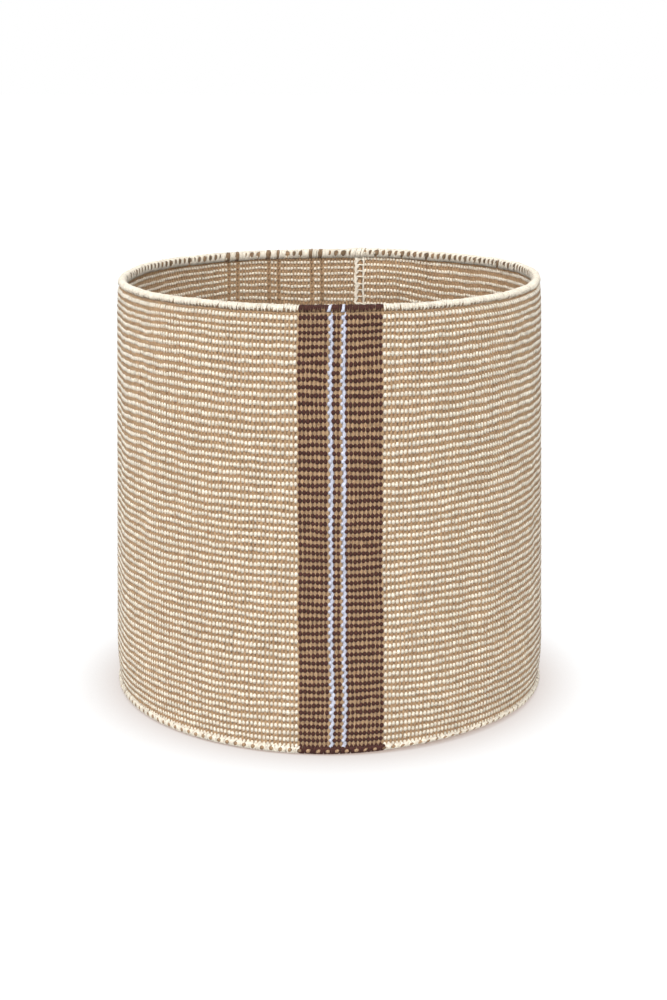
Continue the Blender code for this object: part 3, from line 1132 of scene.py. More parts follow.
@dataclass
class BackSeam:
    """The upright seam at the back: turned weft loops between the selvedges, laced like a ladder."""

    form: BasketForm
    cloth: WallCloth
    block_width: float = 0.00265
    block_depth: float = 0.00205
    block_hold: float = 0.40
    block_swell: float = 0.06
    block_shade: float = 1.04
    block_shades: float = 0.06
    waist_width: float = 0.00210
    waist_depth: float = 0.00150
    rung_radius: float = 0.00070
    rung_ends: tuple[float, float] = (-2.1, 1.4)
    rung_lifts: tuple[float, ...] = (-0.0010, 0.0000, 0.0002, 0.0001, 0.0002, 0.0001, -0.0006)
    rung_tilt: float = 0.06
    rung_stray: float = 0.00015
    rung_swell: float = 0.08
    rung_shades: float = 0.04
    rung_top: float = 0.001
    rails: tuple[Rail, ...] = (Rail("line", -1.35, 0.00082, 0.00022, 0.14),
                               Rail("rope", 0.85, 0.00140, 0.00075, 0.24))
    rail_bulge: tuple[float, float] = (1.25, 1.20)
    rail_zigzag: float = 0.9
    rail_proud: float = 0.3
    rail_shade: float = 0.98

    @property
    def centre(self) -> float:
        """Where the joint's middle is, in warp pairs from the stripe's left edge."""
        return float(zone_pairs("seam_joint")[1])

    def turned_loops(self) -> bpy.types.Object:
        """Model the column of weft loops that fills the joint, one loop on each tan row.

        Returns:
            The column, in place.
        """
        pick, foot, middle = self.cloth.pick, self.form.wall_foot, self.form.cloth_thickness / 2.0
        rows, hold = self.cloth.picks // 2, self.block_hold * pick
        waist = Ring(foot, middle, self.waist_width, self.waist_depth)
        block = Ring(foot + 1.5 * pick, middle, self.block_width, self.block_depth)
        rings = [waist, replace(waist, along=foot + pick), replace(block, along=block.along - hold),
                 replace(block, along=block.along + hold), replace(waist, along=foot + 2.0 * pick)]
        loops = Bench.draw_yarn("seam_weft_loops", rings, sides=8)
        Bench.repeat(loops, rows, (0.0, 0.0, 2.0 * pick), weld=True)
        Bench.close_ends(loops)
        points = Bench.points(loops)
        random = np.random.default_rng(7)
        row = np.clip((points[:, 2] - foot) / (2.0 * pick), 0.0, rows - 1).astype(int)
        swell = 1.0 + random.normal(0.0, self.block_swell, rows)[row]
        flat = np.column_stack((points[:, 0] * swell + self.centre * self.form.pair_width, points[:, 1:]))
        shade = self.block_shade + random.normal(0.0, self.block_shades, rows)[row]
        run = np.column_stack((points[:, 0] / self.block_width, (points[:, 1] - middle) / self.block_depth,
                               points[:, 2]))
        return Bench.lay(loops, self.form.on_wall(flat, at_seam=True), shade, run)

    def rungs(self, name: str, outside: bool) -> bpy.types.Object:
        """Model the lacing's rungs, one on each cream row, across the joint and into the cloth.

        Args:
            name: The piece's name.
            outside: Whether they lie on the outer face.

        Returns:
            The rungs of one face, in place.
        """
        pair, radius = self.form.pair_width, self.rung_radius
        surface, outward, first_row, seed = ((0.0, -1.0, 0.5, 11) if outside
                                             else (self.form.cloth_thickness, 1.0, 1.5, 12))
        steps = np.linspace(*(end * pair for end in self.rung_ends), len(self.rung_lifts))
        rung = Bench.draw_yarn(name, [Ring(step, 0.0, radius, radius) for step in steps])
        Bench.close_ends(rung)
        rungs = Copies(rung, self.cloth.picks // 2, seed)
        across, thick, up = rungs.points[:, 2], rungs.points[:, 1], rungs.side
        tilt = rungs.differ(self.rung_tilt) * across
        height = self.form.wall_foot + (2.0 * rungs.number + first_row) * self.cloth.pick
        height = np.minimum(height, self.form.wall_top - self.rung_top) + rungs.differ(self.rung_stray)
        swell = 1.0 + rungs.differ(self.rung_swell)
        lift = np.interp(across, steps, self.rung_lifts)
        flat = np.column_stack((self.centre * pair + across, surface + outward * lift + thick * swell,
                                height + tilt + up * swell))
        run = np.column_stack((up / radius, thick / radius, across))
        shade = 1.0 + rungs.differ(self.rung_shades)
        return Bench.lay(rung, self.form.on_wall(flat, at_seam=True), shade, run)

    def upright(self, name: str, rail: Rail, outside: bool, seed: int) -> bpy.types.Object:
        """Model an upright run of the lacing yarn, which stands out between the rungs.

        Args:
            name: The piece's name.
            rail: Its sizes.
            outside: Whether it lies on the outer face.
            seed: The seed of its unevenness.

        Returns:
            The run, in place.
        """
        pick, foot, radius = self.cloth.pick, self.form.wall_foot, rail.radius
        wide, deep = self.rail_bulge
        rings = [Ring(foot, 0.0, radius, radius), Ring(foot + pick, 0.0, radius * wide, radius * deep),
                 Ring(foot + 2.0 * pick, 0.0, radius, radius)]
        yarn = Bench.draw_yarn(name, rings, sides=8)
        Bench.repeat(yarn, self.cloth.picks // 2, (0.0, 0.0, 2.0 * pick), weld=True)
        Bench.close_ends(yarn)
        points = Bench.points(yarn)
        random = np.random.default_rng(seed)
        level = np.round((points[:, 2] - foot) / pick).astype(int)
        levels = self.cloth.picks + 1
        zigzag = np.where(level % 2 == 0, self.rail_zigzag, -self.rail_zigzag) * rail.wander
        stray = random.normal(0.0, rail.wander, levels)[level] + zigzag
        swell = 1.0 + random.normal(0.0, rail.swell, levels)[level]
        proud = self.rail_proud * radius
        surface = -proud if outside else self.form.cloth_thickness + proud
        middle = (self.centre + rail.place) * self.form.pair_width
        flat = np.column_stack((middle + points[:, 0] * swell + stray, surface + points[:, 1] * swell,
                                points[:, 2]))
        run = np.column_stack((points[:, 0] / radius, points[:, 1] / radius, points[:, 2]))
        return Bench.lay(yarn, self.form.on_wall(flat, at_seam=True), self.rail_shade, run)

    def build(self, dresser: Dresser) -> None:
        """Make the seam.

        Args:
            dresser: What finishes the pieces.
        """
        dresser.hand_in(self.turned_loops(), Yarn.TAN, "wall_seam_joint")
        seed = 30
        for face, outside in (("inside", False), ("outside", True)):
            node = f"seam_lacing_{face}"
            dresser.hand_in(self.rungs(f"seam_rungs_{face}", outside), Yarn.CREAM, node)
            for rail in self.rails:
                yarn = self.upright(f"seam_{rail.kind}_{face}", rail, outside, seed)
                dresser.hand_in(yarn, Yarn.CREAM, node)
                seed += 1


@dataclass
class RolledRim:
    """The rim: loops of the warps' ends, turned over a heading cord in groups of two pairs.

    A soft step says at which angles from the roll's top a form, or the painted shadow under the roll, sets
    in, in degrees. A spread says how much one loop or group differs from the next.
    """

    form: BasketForm
    reach: float = 125.0
    inner_reach: float = 158.0
    long_reach: float = 1.06
    short_reach: float = 0.76
    steps: int = 15
    sides: int = 6
    half_thickness: float = 0.00055
    overlap: float = 1.12
    flare: float = -0.45
    flares: SoftStep = SoftStep(62.0, 60.0)
    gather: float = 0.62
    window_opens: SoftStep = SoftStep(34.0, 26.0)
    window_closes: SoftStep = SoftStep(94.0, 20.0)
    hang: float = 0.0020
    hangs: SoftStep = SoftStep(78.0, 36.0)
    dive: float = 0.22
    inner_dive: float = 0.76
    dives: SoftStep = SoftStep(108.0, 30.0)
    # Painted shadow: the loops' colour is darkened on the lower inner band under the roll, where shade
    # falls.
    shadow: float = 0.46
    painted_shadow_step: SoftStep = SoftStep(88.0, 22.0)
    slant: float = 0.00030
    inner_slant: float = 0.00085
    sink: float = 0.00006
    shade: float = 0.98
    line_tone: float = 0.58
    line_gather: float = 0.15
    pairs_per_group: int = 2
    reach_spread: float = 0.07
    side_spread: float = 0.00010
    width_spread: float = 0.06
    rise_spread: float = 0.00011
    group_rise_spread: float = 0.00010
    slant_spread: float = 0.00022
    shade_spread: float = 0.045
    knot: tuple[Ring, ...] = (
        Ring(0.0, 0.0, 0.00072, 0.00028), Ring(0.2, 0.0, 0.00162, 0.00063), Ring(0.5, 0.0, 0.00180, 0.00070),
        Ring(0.8, 0.0, 0.00162, 0.00063), Ring(1.0, 0.0, 0.00072, 0.00028))
    knot_turn: tuple[float, float] = (40.0, 72.0)
    knot_sink: float = 0.00095
    knot_stray: float = 0.00006
    knot_swell: float = 0.16
    knot_painted_shade: float = 0.46
    knot_shades: float = 0.09
    blue_half_width: float = 0.00125
    blue_proud: float = 0.00030
    blue_flare: float = 0.40
    wrap_pairs: float = 4.0
    wrap_loops: int = 5
    wrap_overlap: float = 1.1
    wrap_bulk: float = 0.0007
    cord_segments: int = 540
    cord_sides: int = 12
    cord_strands: int = 3
    cord_turns: float = 66.0
    cord_waist: float = 0.84
    cord_shade: float = 0.85

    def loop(self, name: str, half_width: float, radius: float) -> bpy.types.Object:
        """Model one loop: a ring of yarn spun over the cord, from inside to outside.

        Args:
            name: The piece's name.
            half_width: Half its width.
            radius: The radius of its middle about the roll's centre.

        Returns:
            The closed loop about the roll's centre.
        """
        Bench.clear()
        bpy.ops.mesh.primitive_circle_add(vertices=self.sides, radius=1.0, fill_type="NOTHING",
                                          location=(0.0, 0.0, radius), rotation=(math.pi / 2.0, 0.0, 0.0))
        loop = Bench.named(name)
        loop.scale = (half_width, self.half_thickness, 1.0)
        Bench.settle()
        loop.rotation_euler.x = -math.radians(self.reach)
        Bench.settle()
        Bench.open_all()
        bpy.ops.mesh.spin(steps=self.steps, dupli=False, angle=-2.0 * math.radians(self.reach),
                          center=(0.0, 0.0, 0.0), axis=(1.0, 0.0, 0.0))
        bpy.ops.object.mode_set(mode="OBJECT")
        Bench.close_ends(loop)
        return loop

    def on_roll(self, around: np.ndarray, turn: np.ndarray, radius: np.ndarray) -> np.ndarray:
        """Lay points round the roll, which hangs down a little on the inner side.

        Args:
            around: Where they lie round the rim.
            turn: How far round the roll they lie, from the top. It is below zero on the inner side.
            radius: How far they lie from the roll's centre.

        Returns:
            The points in the room.
        """
        drop = self.hang * self.hangs.at(np.degrees(-turn))
        flat = np.column_stack((around, -radius * np.sin(turn), radius * np.cos(turn) - drop))
        return self.form.on_roll(flat)

    def loops(self, name: str, starts: np.ndarray, width: float, count: int, seed: int,
              half_width: float | None = None, proud: float = 0.0, bulk: float = 0.0,
              flare: float | None = None, gather: float | np.ndarray = 0.0,
              tone: float = 1.0) -> bpy.types.Object:
        """Model a run of loops in groups, draw each group together inside, and lay them on the rim.

        Args:
            name: The piece's name.
            starts: Where each group starts, round the rim.
            width: A group's width.
            count: How many loops a group has.
            seed: The seed of the loops' differences.
            half_width: Half a loop's width, where it isn't its share of the group.
            proud: How much further out a loop is modelled.
            bulk: How much further out the loops are laid.
            flare: How much wider they are where they end on the outside, where it isn't the usual.
            gather: How much narrower each group is on the inner side, where its windows are.
            tone: How light the yarn is, against the usual.

        Returns:
            All loops, in place.
        """
        half_width = half_width or width / count / 2.0 * self.overlap
        flare = self.flare if flare is None else flare
        loop = self.loop(name, half_width, self.form.roll_radius - self.half_thickness + proud)
        loops = Copies(loop, len(starts) * count, seed)
        group, place = loops.number // count, loops.number % count
        radius = np.hypot(loops.points[:, 1], loops.points[:, 2])
        turn = np.arctan2(-loops.points[:, 1], loops.points[:, 2])
        middle = radius.mean()
        run = np.column_stack((loops.side / half_width, (radius - middle) / self.half_thickness,
                               turn * middle))
        stretch = np.where((place % 2 == 0) | (count == 1), self.long_reach, self.short_reach)
        stretch = stretch + loops.differ(self.reach_spread)
        outside = turn > 0.0
        turn = np.where(outside, turn * stretch, turn * self.inner_reach / self.reach)
        degrees = np.degrees(turn)
        window = self.window_opens.at(-degrees) * (1.0 - self.window_closes.at(-degrees))
        centre = (place + 0.5) * width / count - width / 2.0 + loops.differ(self.side_spread)
        spread = centre + (loops.side * (1.0 + loops.differ(self.width_spread))
                           * (1.0 + flare * self.flares.at(degrees / stretch)))
        spread = spread * (1.0 - np.broadcast_to(gather, len(starts))[group] * window)
        dive = self.dive * self.dives.at(np.where(outside, degrees, -self.inner_dive * degrees))
        radius = radius * (1.0 - dive) + bulk + loops.differ(self.rise_spread)
        radius = radius + loops.differ(self.group_rise_spread, count) - self.sink
        stray = loops.differ(self.slant_spread, count)
        slant = np.where(outside, self.slant + stray, self.inner_slant + 2.0 * stray)
        around = starts[group] + width / 2.0 + spread - slant * turn
        # Painted shadow on the inner side below the windows, times the yarn's own tone and its random
        # spread.
        shade = 1.0 - self.shadow * self.painted_shadow_step.at(-degrees)
        shade = tone * shade * (self.shade + loops.differ(self.shade_spread))
        return Bench.lay(loop, self.on_roll(around, turn, radius), shade, run)

    def zone_groups(self, names: Sequence[str]) -> tuple[np.ndarray, float]:
        """Share out some zones' pairs in groups.

        Args:
            names: How the zones' names begin. Each start names one run, as wide as the others.

        Returns:
            Where each group starts round the rim, and a group's width.
        """
        starts, widths = [], []
        for name in names:
            pairs = zone_pairs(*zones_named(name))
            groups = max(1, round(len(pairs) / self.pairs_per_group))
            width = len(pairs) * self.form.pair_width / groups
            starts += [pairs[0] * self.form.pair_width + width * k for k in range(groups)]
            widths.append(width)
        return np.array(starts), float(np.mean(widths))

    def gathers(self, starts: np.ndarray, width: float) -> np.ndarray:
        """Find how much each group of loops is drawn together. One beside a tan line hardly is.

        Args:
            starts: Where each group starts round the rim.
            width: A group's width.

        Returns:
            How much narrower each group is where the windows are.
        """
        pair = self.form.pair_width
        lines = zone_pairs(*zones_named("back_line")) * pair
        after = np.abs(starts[:, None] - (lines + pair)[None, :]).min(axis=1)
        before = np.abs(starts[:, None] + width - lines[None, :]).min(axis=1)
        return np.where(np.minimum(after, before) < 0.1 * pair, self.line_gather, self.gather)

    def knots(self, name: str, starts: np.ndarray, seed: int) -> bpy.types.Object:
        """Model the short tan loops that show between the groups on the inner side, darkened with painted
        shade for the windows they sit in.

        Args:
            name: The piece's name.
            starts: Where they are, round the rim.
            seed: The seed of their differences.

        Returns:
            The short loops, in place.
        """
        knot = Bench.draw_yarn(name, self.knot)
        Bench.close_ends(knot)
        knots = Copies(knot, len(starts), seed)
        full = max(self.knot, key=lambda ring: ring.half_width)
        path = self.form.roll_radius - self.knot_sink
        start, length = self.knot_turn
        turn = -math.radians(start) - knots.points[:, 2] * math.radians(length)
        radius = path + knots.points[:, 1] + knots.differ(self.knot_stray)
        swell = 1.0 + knots.differ(self.knot_swell)
        around = starts[knots.number] + knots.side * swell - self.inner_slant * turn
        run = np.column_stack((knots.side / full.half_width, knots.points[:, 1] / full.half_depth,
                               turn * path))
        # Painted shade: the knots are darkened well below the tan yarn's own colour, for the shade in the
        # windows.
        shade = self.knot_painted_shade + knots.differ(self.knot_shades)
        return Bench.lay(knot, self.on_roll(around, turn, radius), shade, run)

    def heading_cord(self) -> bpy.types.Object:
        """Model the cord inside the roll, laid up from its strands.

        Returns:
            The cord, in place.
        """
        cord = Bench.draw_hoop("twisted_heading_cord", self.form.rim_radius, self.form.cord_radius,
                               self.cord_segments, self.cord_sides)
        points = Bench.points(cord)
        azimuth, around, inward = self.form.unroll(points)
        angle = np.arctan2(points[:, 2], inward)
        strand = np.abs(np.cos(self.cord_strands / 2.0 * (angle + self.cord_turns * azimuth)))
        size = self.cord_waist + (1.0 - self.cord_waist) * strand
        flat = np.column_stack((around, inward * size, points[:, 2] * size))
        run = np.column_stack((np.cos(angle), np.sin(angle), around))
        return Bench.lay(cord, self.form.on_roll(flat), self.cord_shade, run)

    def build(self, dresser: Dresser) -> None:
        """Make the rim.

        Args:
            dresser: What finishes the pieces.
        """
        dresser.hand_in(self.heading_cord(), Yarn.TAN, "heading_cord")
        blue_zones = zones_named("stripe_blue")
        blue = self.loops("rim_loops_blue", *self.zone_groups(blue_zones), 1, 230,
                          half_width=self.blue_half_width, proud=self.blue_proud, flare=self.blue_flare)
        dresser.hand_in(blue, Yarn.BLUE, *(f"rim_{zone}" for zone in blue_zones))
        runs = (("brown", Yarn.BROWN, ("stripe",), 4),
                ("cream_right", Yarn.CREAM, ("field_right",), 4),
                ("cream_left", Yarn.CREAM, ("field_left",), 4),
                ("tan_back_lines", Yarn.TAN, zones_named("back_line"), 2),
                ("cream_wide_bands", Yarn.CREAM, ("back_band_1", "back_band_3", "back_band_5"), 4),
                ("cream_narrow_bands", Yarn.CREAM, ("back_band_2", "back_band_4", "back_band_6"), 4))
        borders = []
        for seed, (name, yarn, zones, count) in enumerate(runs, 200):
            starts, width = self.zone_groups(zones)
            gather, tone = self.gathers(starts, width), 1.0
            if yarn is Yarn.CREAM:
                borders.append(starts[gather > self.line_gather])
            if yarn is Yarn.TAN:
                gather, tone = 0.0, self.line_tone
            loops = self.loops(f"rim_loops_{name}", starts, width, count, seed, gather=gather, tone=tone)
            dresser.hand_in(loops, yarn, *(f"rim_{zone}" for start in zones for zone in zones_named(start)))
        seam_start = zone_pairs("selvedge_right")[0] * self.form.pair_width
        seam_width = self.wrap_pairs * self.form.pair_width
        half_width = seam_width / self.wrap_loops / 2.0 * self.wrap_overlap
        wrap = self.loops("rim_loops_seam_wrap", np.array([seam_start]), seam_width, self.wrap_loops, 240,
                          half_width=half_width, bulk=self.wrap_bulk)
        dresser.hand_in(wrap, Yarn.CREAM, "rim_seam_wrap")
        dresser.hand_in(self.knots("rim_inner_knots", np.concatenate(borders), 250), Yarn.TAN)


@dataclass(frozen=True)
class StitchRun:
    """A run of the foot's stitches, all in one yarn, and the hem that shows between them.

    Where it starts and how much it spans are in warp pairs. Spread and waist say how wide a group is at its
    ends and at its middle, against the usual.
    """

    name: str
    yarn: Yarn
    first_pair: float
    pairs: float
    spread: float
    waist: float
    hem_name: str
    hem_tone: float


@dataclass
class StitchedFoot:
    """The foot: slanted whip stitches in groups of three, over the turned edge of the base."""

    form: BasketForm
    pitch_pairs: float = 2.25
    strands: int = 3
    strand_step: float = 0.00158
    strand_half_width: float = 0.00092
    strand: tuple[Ring, ...] = (
        Ring(0.0004, 0.0010, 0.00046, 0.0004), Ring(0.0010, -0.0004, 0.000828, 0.0005),
        Ring(0.0017, -0.0009, 0.000828, 0.0007), Ring(0.0028, -0.0013, 0.000828, 0.0009),
        Ring(0.0048, -0.0014, 0.000874, 0.0009), Ring(0.0057, -0.0011, 0.00092, 0.0008),
        Ring(0.0063, -0.0007, 0.000828, 0.0006), Ring(0.0068, 0.0007, 0.000414, 0.0004))
    strand_middle: tuple[float, float] = (0.0009, 0.0006)
    middle_height: float = 0.0038
    spreads: SoftStep = SoftStep(0.0012, 0.0008)
    fan: float = 1.05
    fan_close: float = 0.16
    fan_height: float = 0.003
    slant: float = 0.22
    group_slants: float = 0.16
    strand_slants: float = 0.12
    strand_stray: float = 0.00012
    strand_rise: float = 0.00010
    strand_shades: float = 0.04
    middle_proud: float = 0.00015
    bead: tuple[Ring, ...] = (
        Ring(0.0014, 0.0004, 0.00076, 0.0004), Ring(0.0022, -0.0007, 0.001615, 0.0010),
        Ring(0.0038, -0.0011, 0.0019, 0.0012), Ring(0.0052, -0.0007, 0.001615, 0.0010),
        Ring(0.0060, 0.0004, 0.00076, 0.0004))
    bead_half_width: float = 0.0019
    bead_middle: tuple[float, float] = (0.0009, 0.0012)
    bead_swell: float = 0.12
    bead_stray: float = 0.00020
    bead_shades: float = 0.06
    hem_radius: float = 0.0019
    hem_middle: float = 0.0034
    hem_tallness: float = 1.6
    hem_lumps: float = 0.08
    hem_shade: float = 0.85

    def groups(self, run: StitchRun) -> int:
        """How many groups of stitches a run has."""
        return round(run.pairs / self.pitch_pairs)

    def stitches(self, run: StitchRun, seed: int) -> bpy.types.Object:
        """Model a run of whip stitches.

        Args:
            run: The run.
            seed: The seed of the stitches' differences.

        Returns:
            The stitches, in place.
        """
        strand = Bench.draw_yarn(run.name, self.strand)
        Bench.close_ends(strand)
        groups = self.groups(run)
        strands = Copies(strand, groups * self.strands, seed)
        group, place = strands.number // self.strands, strands.number % self.strands
        inward, height = strands.points[:, 1], strands.points[:, 2]
        above = height - self.middle_height
        fill = run.waist + (run.spread - run.waist) * self.spreads.at(np.abs(above))
        side = strands.side * fill
        width = run.pairs / groups * self.form.pair_width
        stray = strands.differ(self.strand_stray)
        slant = self.slant + strands.differ(self.group_slants, self.strands)
        slant = slant + strands.differ(self.strand_slants)
        fan = self.fan - self.fan_close * (above / self.fan_height) ** 2
        around = (run.first_pair * self.form.pair_width + (group + 0.5) * width
                  + (place - 1.0) * self.strand_step * fill * fan + stray + slant * above + side)
        rise = strands.differ(self.strand_rise) - self.middle_proud * (place == 1)
        depth, thick = self.strand_middle
        lay = np.column_stack((side / self.strand_half_width, (inward + depth) / thick, height))
        return Bench.lay(strand, self.form.on_foot(np.column_stack((around, inward + rise, height))),
                         1.0 + strands.differ(self.strand_shades), lay)

    def hem_beads(self, run: StitchRun, seed: int) -> bpy.types.Object:
        """Model the tan warps of the base's turned edge where they show between a run's stitches.

        Args:
            run: The run.
            seed: The seed of the beads' differences.

        Returns:
            One bead between each two groups of stitches.
        """
        bead = Bench.draw_yarn(run.hem_name, self.bead, sides=8)
        Bench.close_ends(bead)
        groups = self.groups(run)
        beads = Copies(bead, groups - 1, seed)
        inward, height = beads.points[:, 1], beads.points[:, 2]
        swell = 1.0 + beads.differ(self.bead_swell)
        lean = (self.slant + beads.differ(self.group_slants)) * (height - self.middle_height)
        middle = (run.first_pair + (beads.number + 1) * run.pairs / groups) * self.form.pair_width
        around = middle + beads.side * swell + lean + beads.differ(self.bead_stray)
        depth, thick = self.bead_middle
        lay = np.column_stack((beads.side / self.bead_half_width, (inward + depth) / thick, height))
        return Bench.lay(bead, self.form.on_foot(np.column_stack((around, inward, height))),
                         run.hem_tone + beads.differ(self.bead_shades), lay)

    def hem(self) -> bpy.types.Object:
        """Model the turned edge of the base, which shows between the stitches.

        Returns:
            The hem, in place.
        """
        core = self.form.foot_radius - self.hem_radius
        hem = Bench.draw_hoop("base_hem", core, self.hem_radius, 2 * PAIRS_ROUND, 8)
        points = Bench.points(hem)
        azimuth, _, inward = self.form.unroll(points)
        lump = 1.0 + self.hem_lumps * np.cos(PAIRS_ROUND * azimuth)
        offset = (self.form.rim_radius - inward - core) * lump
        height = self.hem_middle + points[:, 2] * lump * self.hem_tallness
        height = height + self.form.handwork.foot_rise(azimuth, height)
        lay = np.column_stack((offset / self.hem_radius, points[:, 2] / self.hem_radius,
                               azimuth * self.form.foot_radius))
        return Bench.lay(hem, polar(core + offset, azimuth, height), self.hem_shade, lay)

    def build(self, dresser: Dresser) -> None:
        """Make the foot.

        Args:
            dresser: What finishes the pieces.
        """
        stripe = float(len(zone_pairs(*zones_named("stripe"))))
        runs = (StitchRun("whip_stitches_brown", Yarn.BROWN, 0.0, stripe, 1.72, 0.84,
                          "hem_beads_stripe", 1.0),
                StitchRun("whip_stitches_cream", Yarn.CREAM, stripe, PAIRS_ROUND - stripe, 1.48, 0.86,
                          "hem_beads_field", 0.84))
        for seed, run in enumerate(runs, 301):
            node = run.name.replace("whip_stitches", "foot_stitches")
            dresser.hand_in(self.stitches(run, seed), run.yarn, node)
        for seed, run in enumerate(runs, 303):
            dresser.hand_in(self.hem_beads(run, seed), Yarn.TAN)
        dresser.hand_in(self.hem(), Yarn.TAN)


@dataclass
class WovenBase:
    """The flat base disc of the same cloth, with its warps running from front to back."""

    form: BasketForm
    cloth: WallCloth
    edge_inset: float = 0.0026
    edge_trim: float = 0.25
    floor_gap: float = 0.0002
    drifts: Table = ((0.0006, 21.0, 3.0), (0.0004, 57.0, 31.0))
    warp_shades: float = 0.03
    float_shades: float = 0.045
    weft_inset: float = 0.002

    @property
    def radius(self) -> float:
        """The radius of its woven part."""
        return self.form.foot_radius - self.edge_inset

    def warps(self, name: str, warps: WarpSet, seed: int, part: int = 0, parts: int = 1) -> bpy.types.Object:
        """Model one set of the base's warps, cut off at the round edge.

        Args:
            name: The piece's name.
            warps: Which set it is.
            seed: The seed of the warps' differences.
            part: Which part of the set the piece is.
            parts: How many parts the set is made in.

        Returns:
            The warps, in place.
        """
        weave, pair, pick = self.cloth.weave(), self.form.pair_width, self.cloth.pick
        rings = weave.rings(warps, self.cloth.cream_reach)
        repeats = int(self.radius / pick) + 1
        across = int(2.0 * self.radius / pair)
        places = np.array_split(np.arange(across), parts)[part]
        yarn = Bench.draw_yarn(name, rings, self.cloth.yarn_sides)
        Bench.repeat(yarn, repeats, (0.0, 0.0, 2.0 * pick), weld=True)
        bpy.ops.object.shade_smooth()
        copies = Copies(yarn, len(places), seed, pair)
        own, side = copies.number, copies.side
        centre, inward, number = weave.place(copies.points, rings)
        number = np.clip(number, 0, 2 * repeats - 1)
        middle = (places[own] + warps.value - across / 2.0) * pair
        along = copies.points[:, 2] - repeats * pick
        shade = 1.0 + copies.differ(self.warp_shades)
        shade = shade + copies.random.normal(0.0, self.float_shades, (len(places), 2 * repeats))[own, number]
        drift = sum(size * np.sin(over * middle + back * along) for size, over, back in self.drifts)
        Bench.lay(yarn, np.column_stack((middle + side, along + drift, centre + inward + self.floor_gap)),
                  shade, np.column_stack((side / weave.bead_width, inward / weave.bead_depth, along)))
        chord = np.sqrt(np.maximum(0.0, self.radius**2 - middle**2))
        self.cut(yarn, np.abs(along) > chord - pick * self.edge_trim)
        Bench.close_ends(yarn)
        return yarn

    @staticmethod
    def cut(piece: bpy.types.Object, points: np.ndarray) -> None:
        """Cut off a part of a piece.

        Args:
            piece: The piece.
            points: Which of its points go.
        """
        Bench.take(piece)
        bpy.ops.object.mode_set(mode="EDIT")
        bpy.ops.mesh.select_mode(type="VERT")
        bpy.ops.mesh.select_all(action="DESELECT")
        bpy.ops.object.mode_set(mode="OBJECT")
        piece.data.vertices.foreach_set("select", points)
        bpy.ops.object.mode_set(mode="EDIT")
        bpy.ops.mesh.delete(type="VERT")
        bpy.ops.object.mode_set(mode="OBJECT")

    def weft(self) -> bpy.types.Object:
        """Model the base's weft: one flat yarn for each pick, between the two faces of its cloth.

        Returns:
            The weft, in place.
        """
        Bench.clear()
        bpy.ops.mesh.primitive_cube_add(size=2.0)
        weft = Bench.named("base_weft")
        weft.scale = (1.0, self.cloth.weft_half_height, self.cloth.weft_half_depth)
        Bench.settle()
        corners = len(weft.data.vertices)
        picks = 2 * int(self.radius / self.cloth.pick) - 2
        Bench.repeat(weft, picks, (0.0, self.cloth.pick, 0.0))
        bpy.ops.object.shade_smooth()
        points = Bench.points(weft)
        across = points[:, 1] - (picks - 1) * self.cloth.pick / 2.0
        row = (np.arange(len(points)) // corners - (picks - 1) / 2.0) * self.cloth.pick
        along = points[:, 0] * (np.sqrt(self.radius**2 - row**2) - self.weft_inset)
        placed = np.column_stack((along, across, points[:, 2] + self.form.cloth_thickness / 2.0))
        run = np.column_stack((np.sign(across - row), np.sign(points[:, 2]), along))
        return Bench.lay(weft, placed, self.cloth.weft_shade, run)

    def build(self, dresser: Dresser) -> None:
        """Make the base.

        Args:
            dresser: What finishes the pieces.
        """
        for part in range(2):
            first = self.warps(f"base_first_warps_{part + 1}", WarpSet.FIRST, 401 + part, part, 2)
            dresser.hand_in(first, Yarn.CREAM, "base_disc")
        dresser.hand_in(self.warps("base_second_warps", WarpSet.SECOND, 411), Yarn.TAN, "base_disc")
        dresser.hand_in(self.weft(), Yarn.TAN)


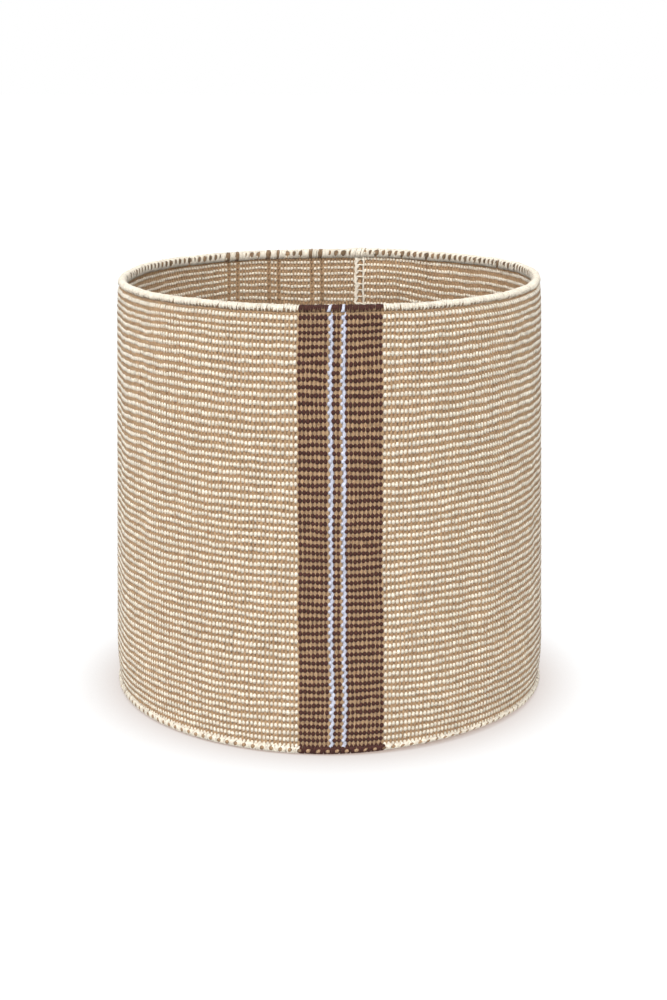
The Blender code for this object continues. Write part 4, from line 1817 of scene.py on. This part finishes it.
@dataclass
class Studio:
    """The pale floor, the soft light and the camera."""

    camera_place: Triple = (0.00366, -1.3812, 0.5314)
    camera_drop: float = 0.2646
    lens: float = 59.55
    sensor: float = 36.0
    floor_size: float = 40.0
    light_from: Triple = (-0.16, -0.90, 0.31)
    light_colour: Triple = (1.0, 0.985, 0.965)
    light_focus: float = 5.4
    dim_side: float = 0.46
    bright_side: float = 3.32
    white: tuple[float, float, float, float] = (1.0, 1.0, 1.0, 1.0)
    floor_shown: Triple = (0.10, 0.10, 0.10)
    floor_bounce: Triple = (0.20, 0.20, 0.20)
    floor_glow: float = 0.96
    painted_contact_shadow: Triple = (0.45, 0.33, 0.27)
    contact_reach: float = 0.05

    def floor(self) -> None:
        """Lay the floor, whose bare parts are white to the camera. It keeps a faint true shadow, and a
        painted contact shadow darkens its glow near the basket.
        """
        Bench.clear()
        bpy.ops.mesh.primitive_plane_add(size=self.floor_size)
        floor = Bench.named("studio_floor")
        material = bpy.data.materials.new("white_paper")
        material.use_nodes = True
        material.node_tree.nodes.clear()
        graph = Graph(material.node_tree)
        # Painted contact shadow: ambient occlusion darkens the floor's glow near the basket.
        contact = graph.node("ShaderNodeAmbientOcclusion", {"Distance": self.contact_reach}, samples=8)
        painted_shadow_glow = graph.blend(contact.outputs["AO"], (*self.painted_contact_shadow, 1.0), self.white)
        paper = graph.node("ShaderNodeBsdfDiffuse", {"Color": (*self.floor_shown, 1.0)})
        bounce = graph.node("ShaderNodeBsdfDiffuse", {"Color": (*self.floor_bounce, 1.0)})
        glow = graph.node("ShaderNodeEmission", {"Color": painted_shadow_glow, "Strength": self.floor_glow})
        seen = graph.node("ShaderNodeLightPath").outputs["Is Camera Ray"]
        both = graph.node("ShaderNodeAddShader", {0: paper.outputs[0], 1: glow.outputs[0]})
        graph.node("ShaderNodeOutputMaterial", {"Surface": graph.mixed(seen, bounce, both)})
        floor.data.materials.append(material)

    def world(self) -> None:
        """Light everything softly from all round, and show the camera a white backdrop."""
        world = bpy.data.worlds.new("studio")
        bpy.context.scene.world = world
        world.use_nodes = True
        world.node_tree.nodes.clear()
        graph = Graph(world.node_tree)
        seen = graph.node("ShaderNodeLightPath").outputs["Is Camera Ray"]
        way = graph.node("ShaderNodeTexCoord").outputs["Generated"]
        facing = graph.node("ShaderNodeVectorMath", {0: way, 1: tuple(Vector(self.light_from).normalized())},
                            operation="DOT_PRODUCT").outputs["Value"]
        lobe = graph.math("POWER", graph.span(facing, given=(-1.0, 1.0)), self.light_focus)
        strength = graph.span(lobe, wanted=(self.dim_side, self.bright_side))
        soft = graph.node("ShaderNodeBackground", {"Color": (*self.light_colour, 1.0), "Strength": strength})
        white = graph.node("ShaderNodeBackground", {"Color": self.white, "Strength": 1.0})
        graph.node("ShaderNodeOutputWorld", {"Surface": graph.mixed(seen, soft, white)})

    def camera(self) -> None:
        """Set the camera at the photograph's angle."""
        data = bpy.data.cameras.new("camera")
        data.lens = self.lens
        data.sensor_width = self.sensor
        data.sensor_fit = "AUTO"
        camera = bpy.data.objects.new("camera", data)
        bpy.context.scene.collection.objects.link(camera)
        camera.location = self.camera_place
        camera.rotation_euler = (math.pi / 2.0 - self.camera_drop, 0.0, 0.0)
        bpy.context.scene.camera = camera

    def build(self) -> None:
        """Set up the studio."""
        self.floor()
        self.world()
        self.camera()
        bpy.context.scene.view_settings.view_transform = "Standard"


def main() -> None:
    """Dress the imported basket."""
    logging.basicConfig(level=logging.INFO, format="%(name)s: %(message)s")
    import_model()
    Studio().build()
    form = BasketForm()
    dresser = Dresser()
    cloth = WallCloth(form)
    for part in (cloth, BackSeam(form, cloth), RolledRim(form), StitchedFoot(form), WovenBase(form, cloth)):
        part.build(dresser)
    bpy.context.view_layer.update()


if __name__ == "__main__":
    main()
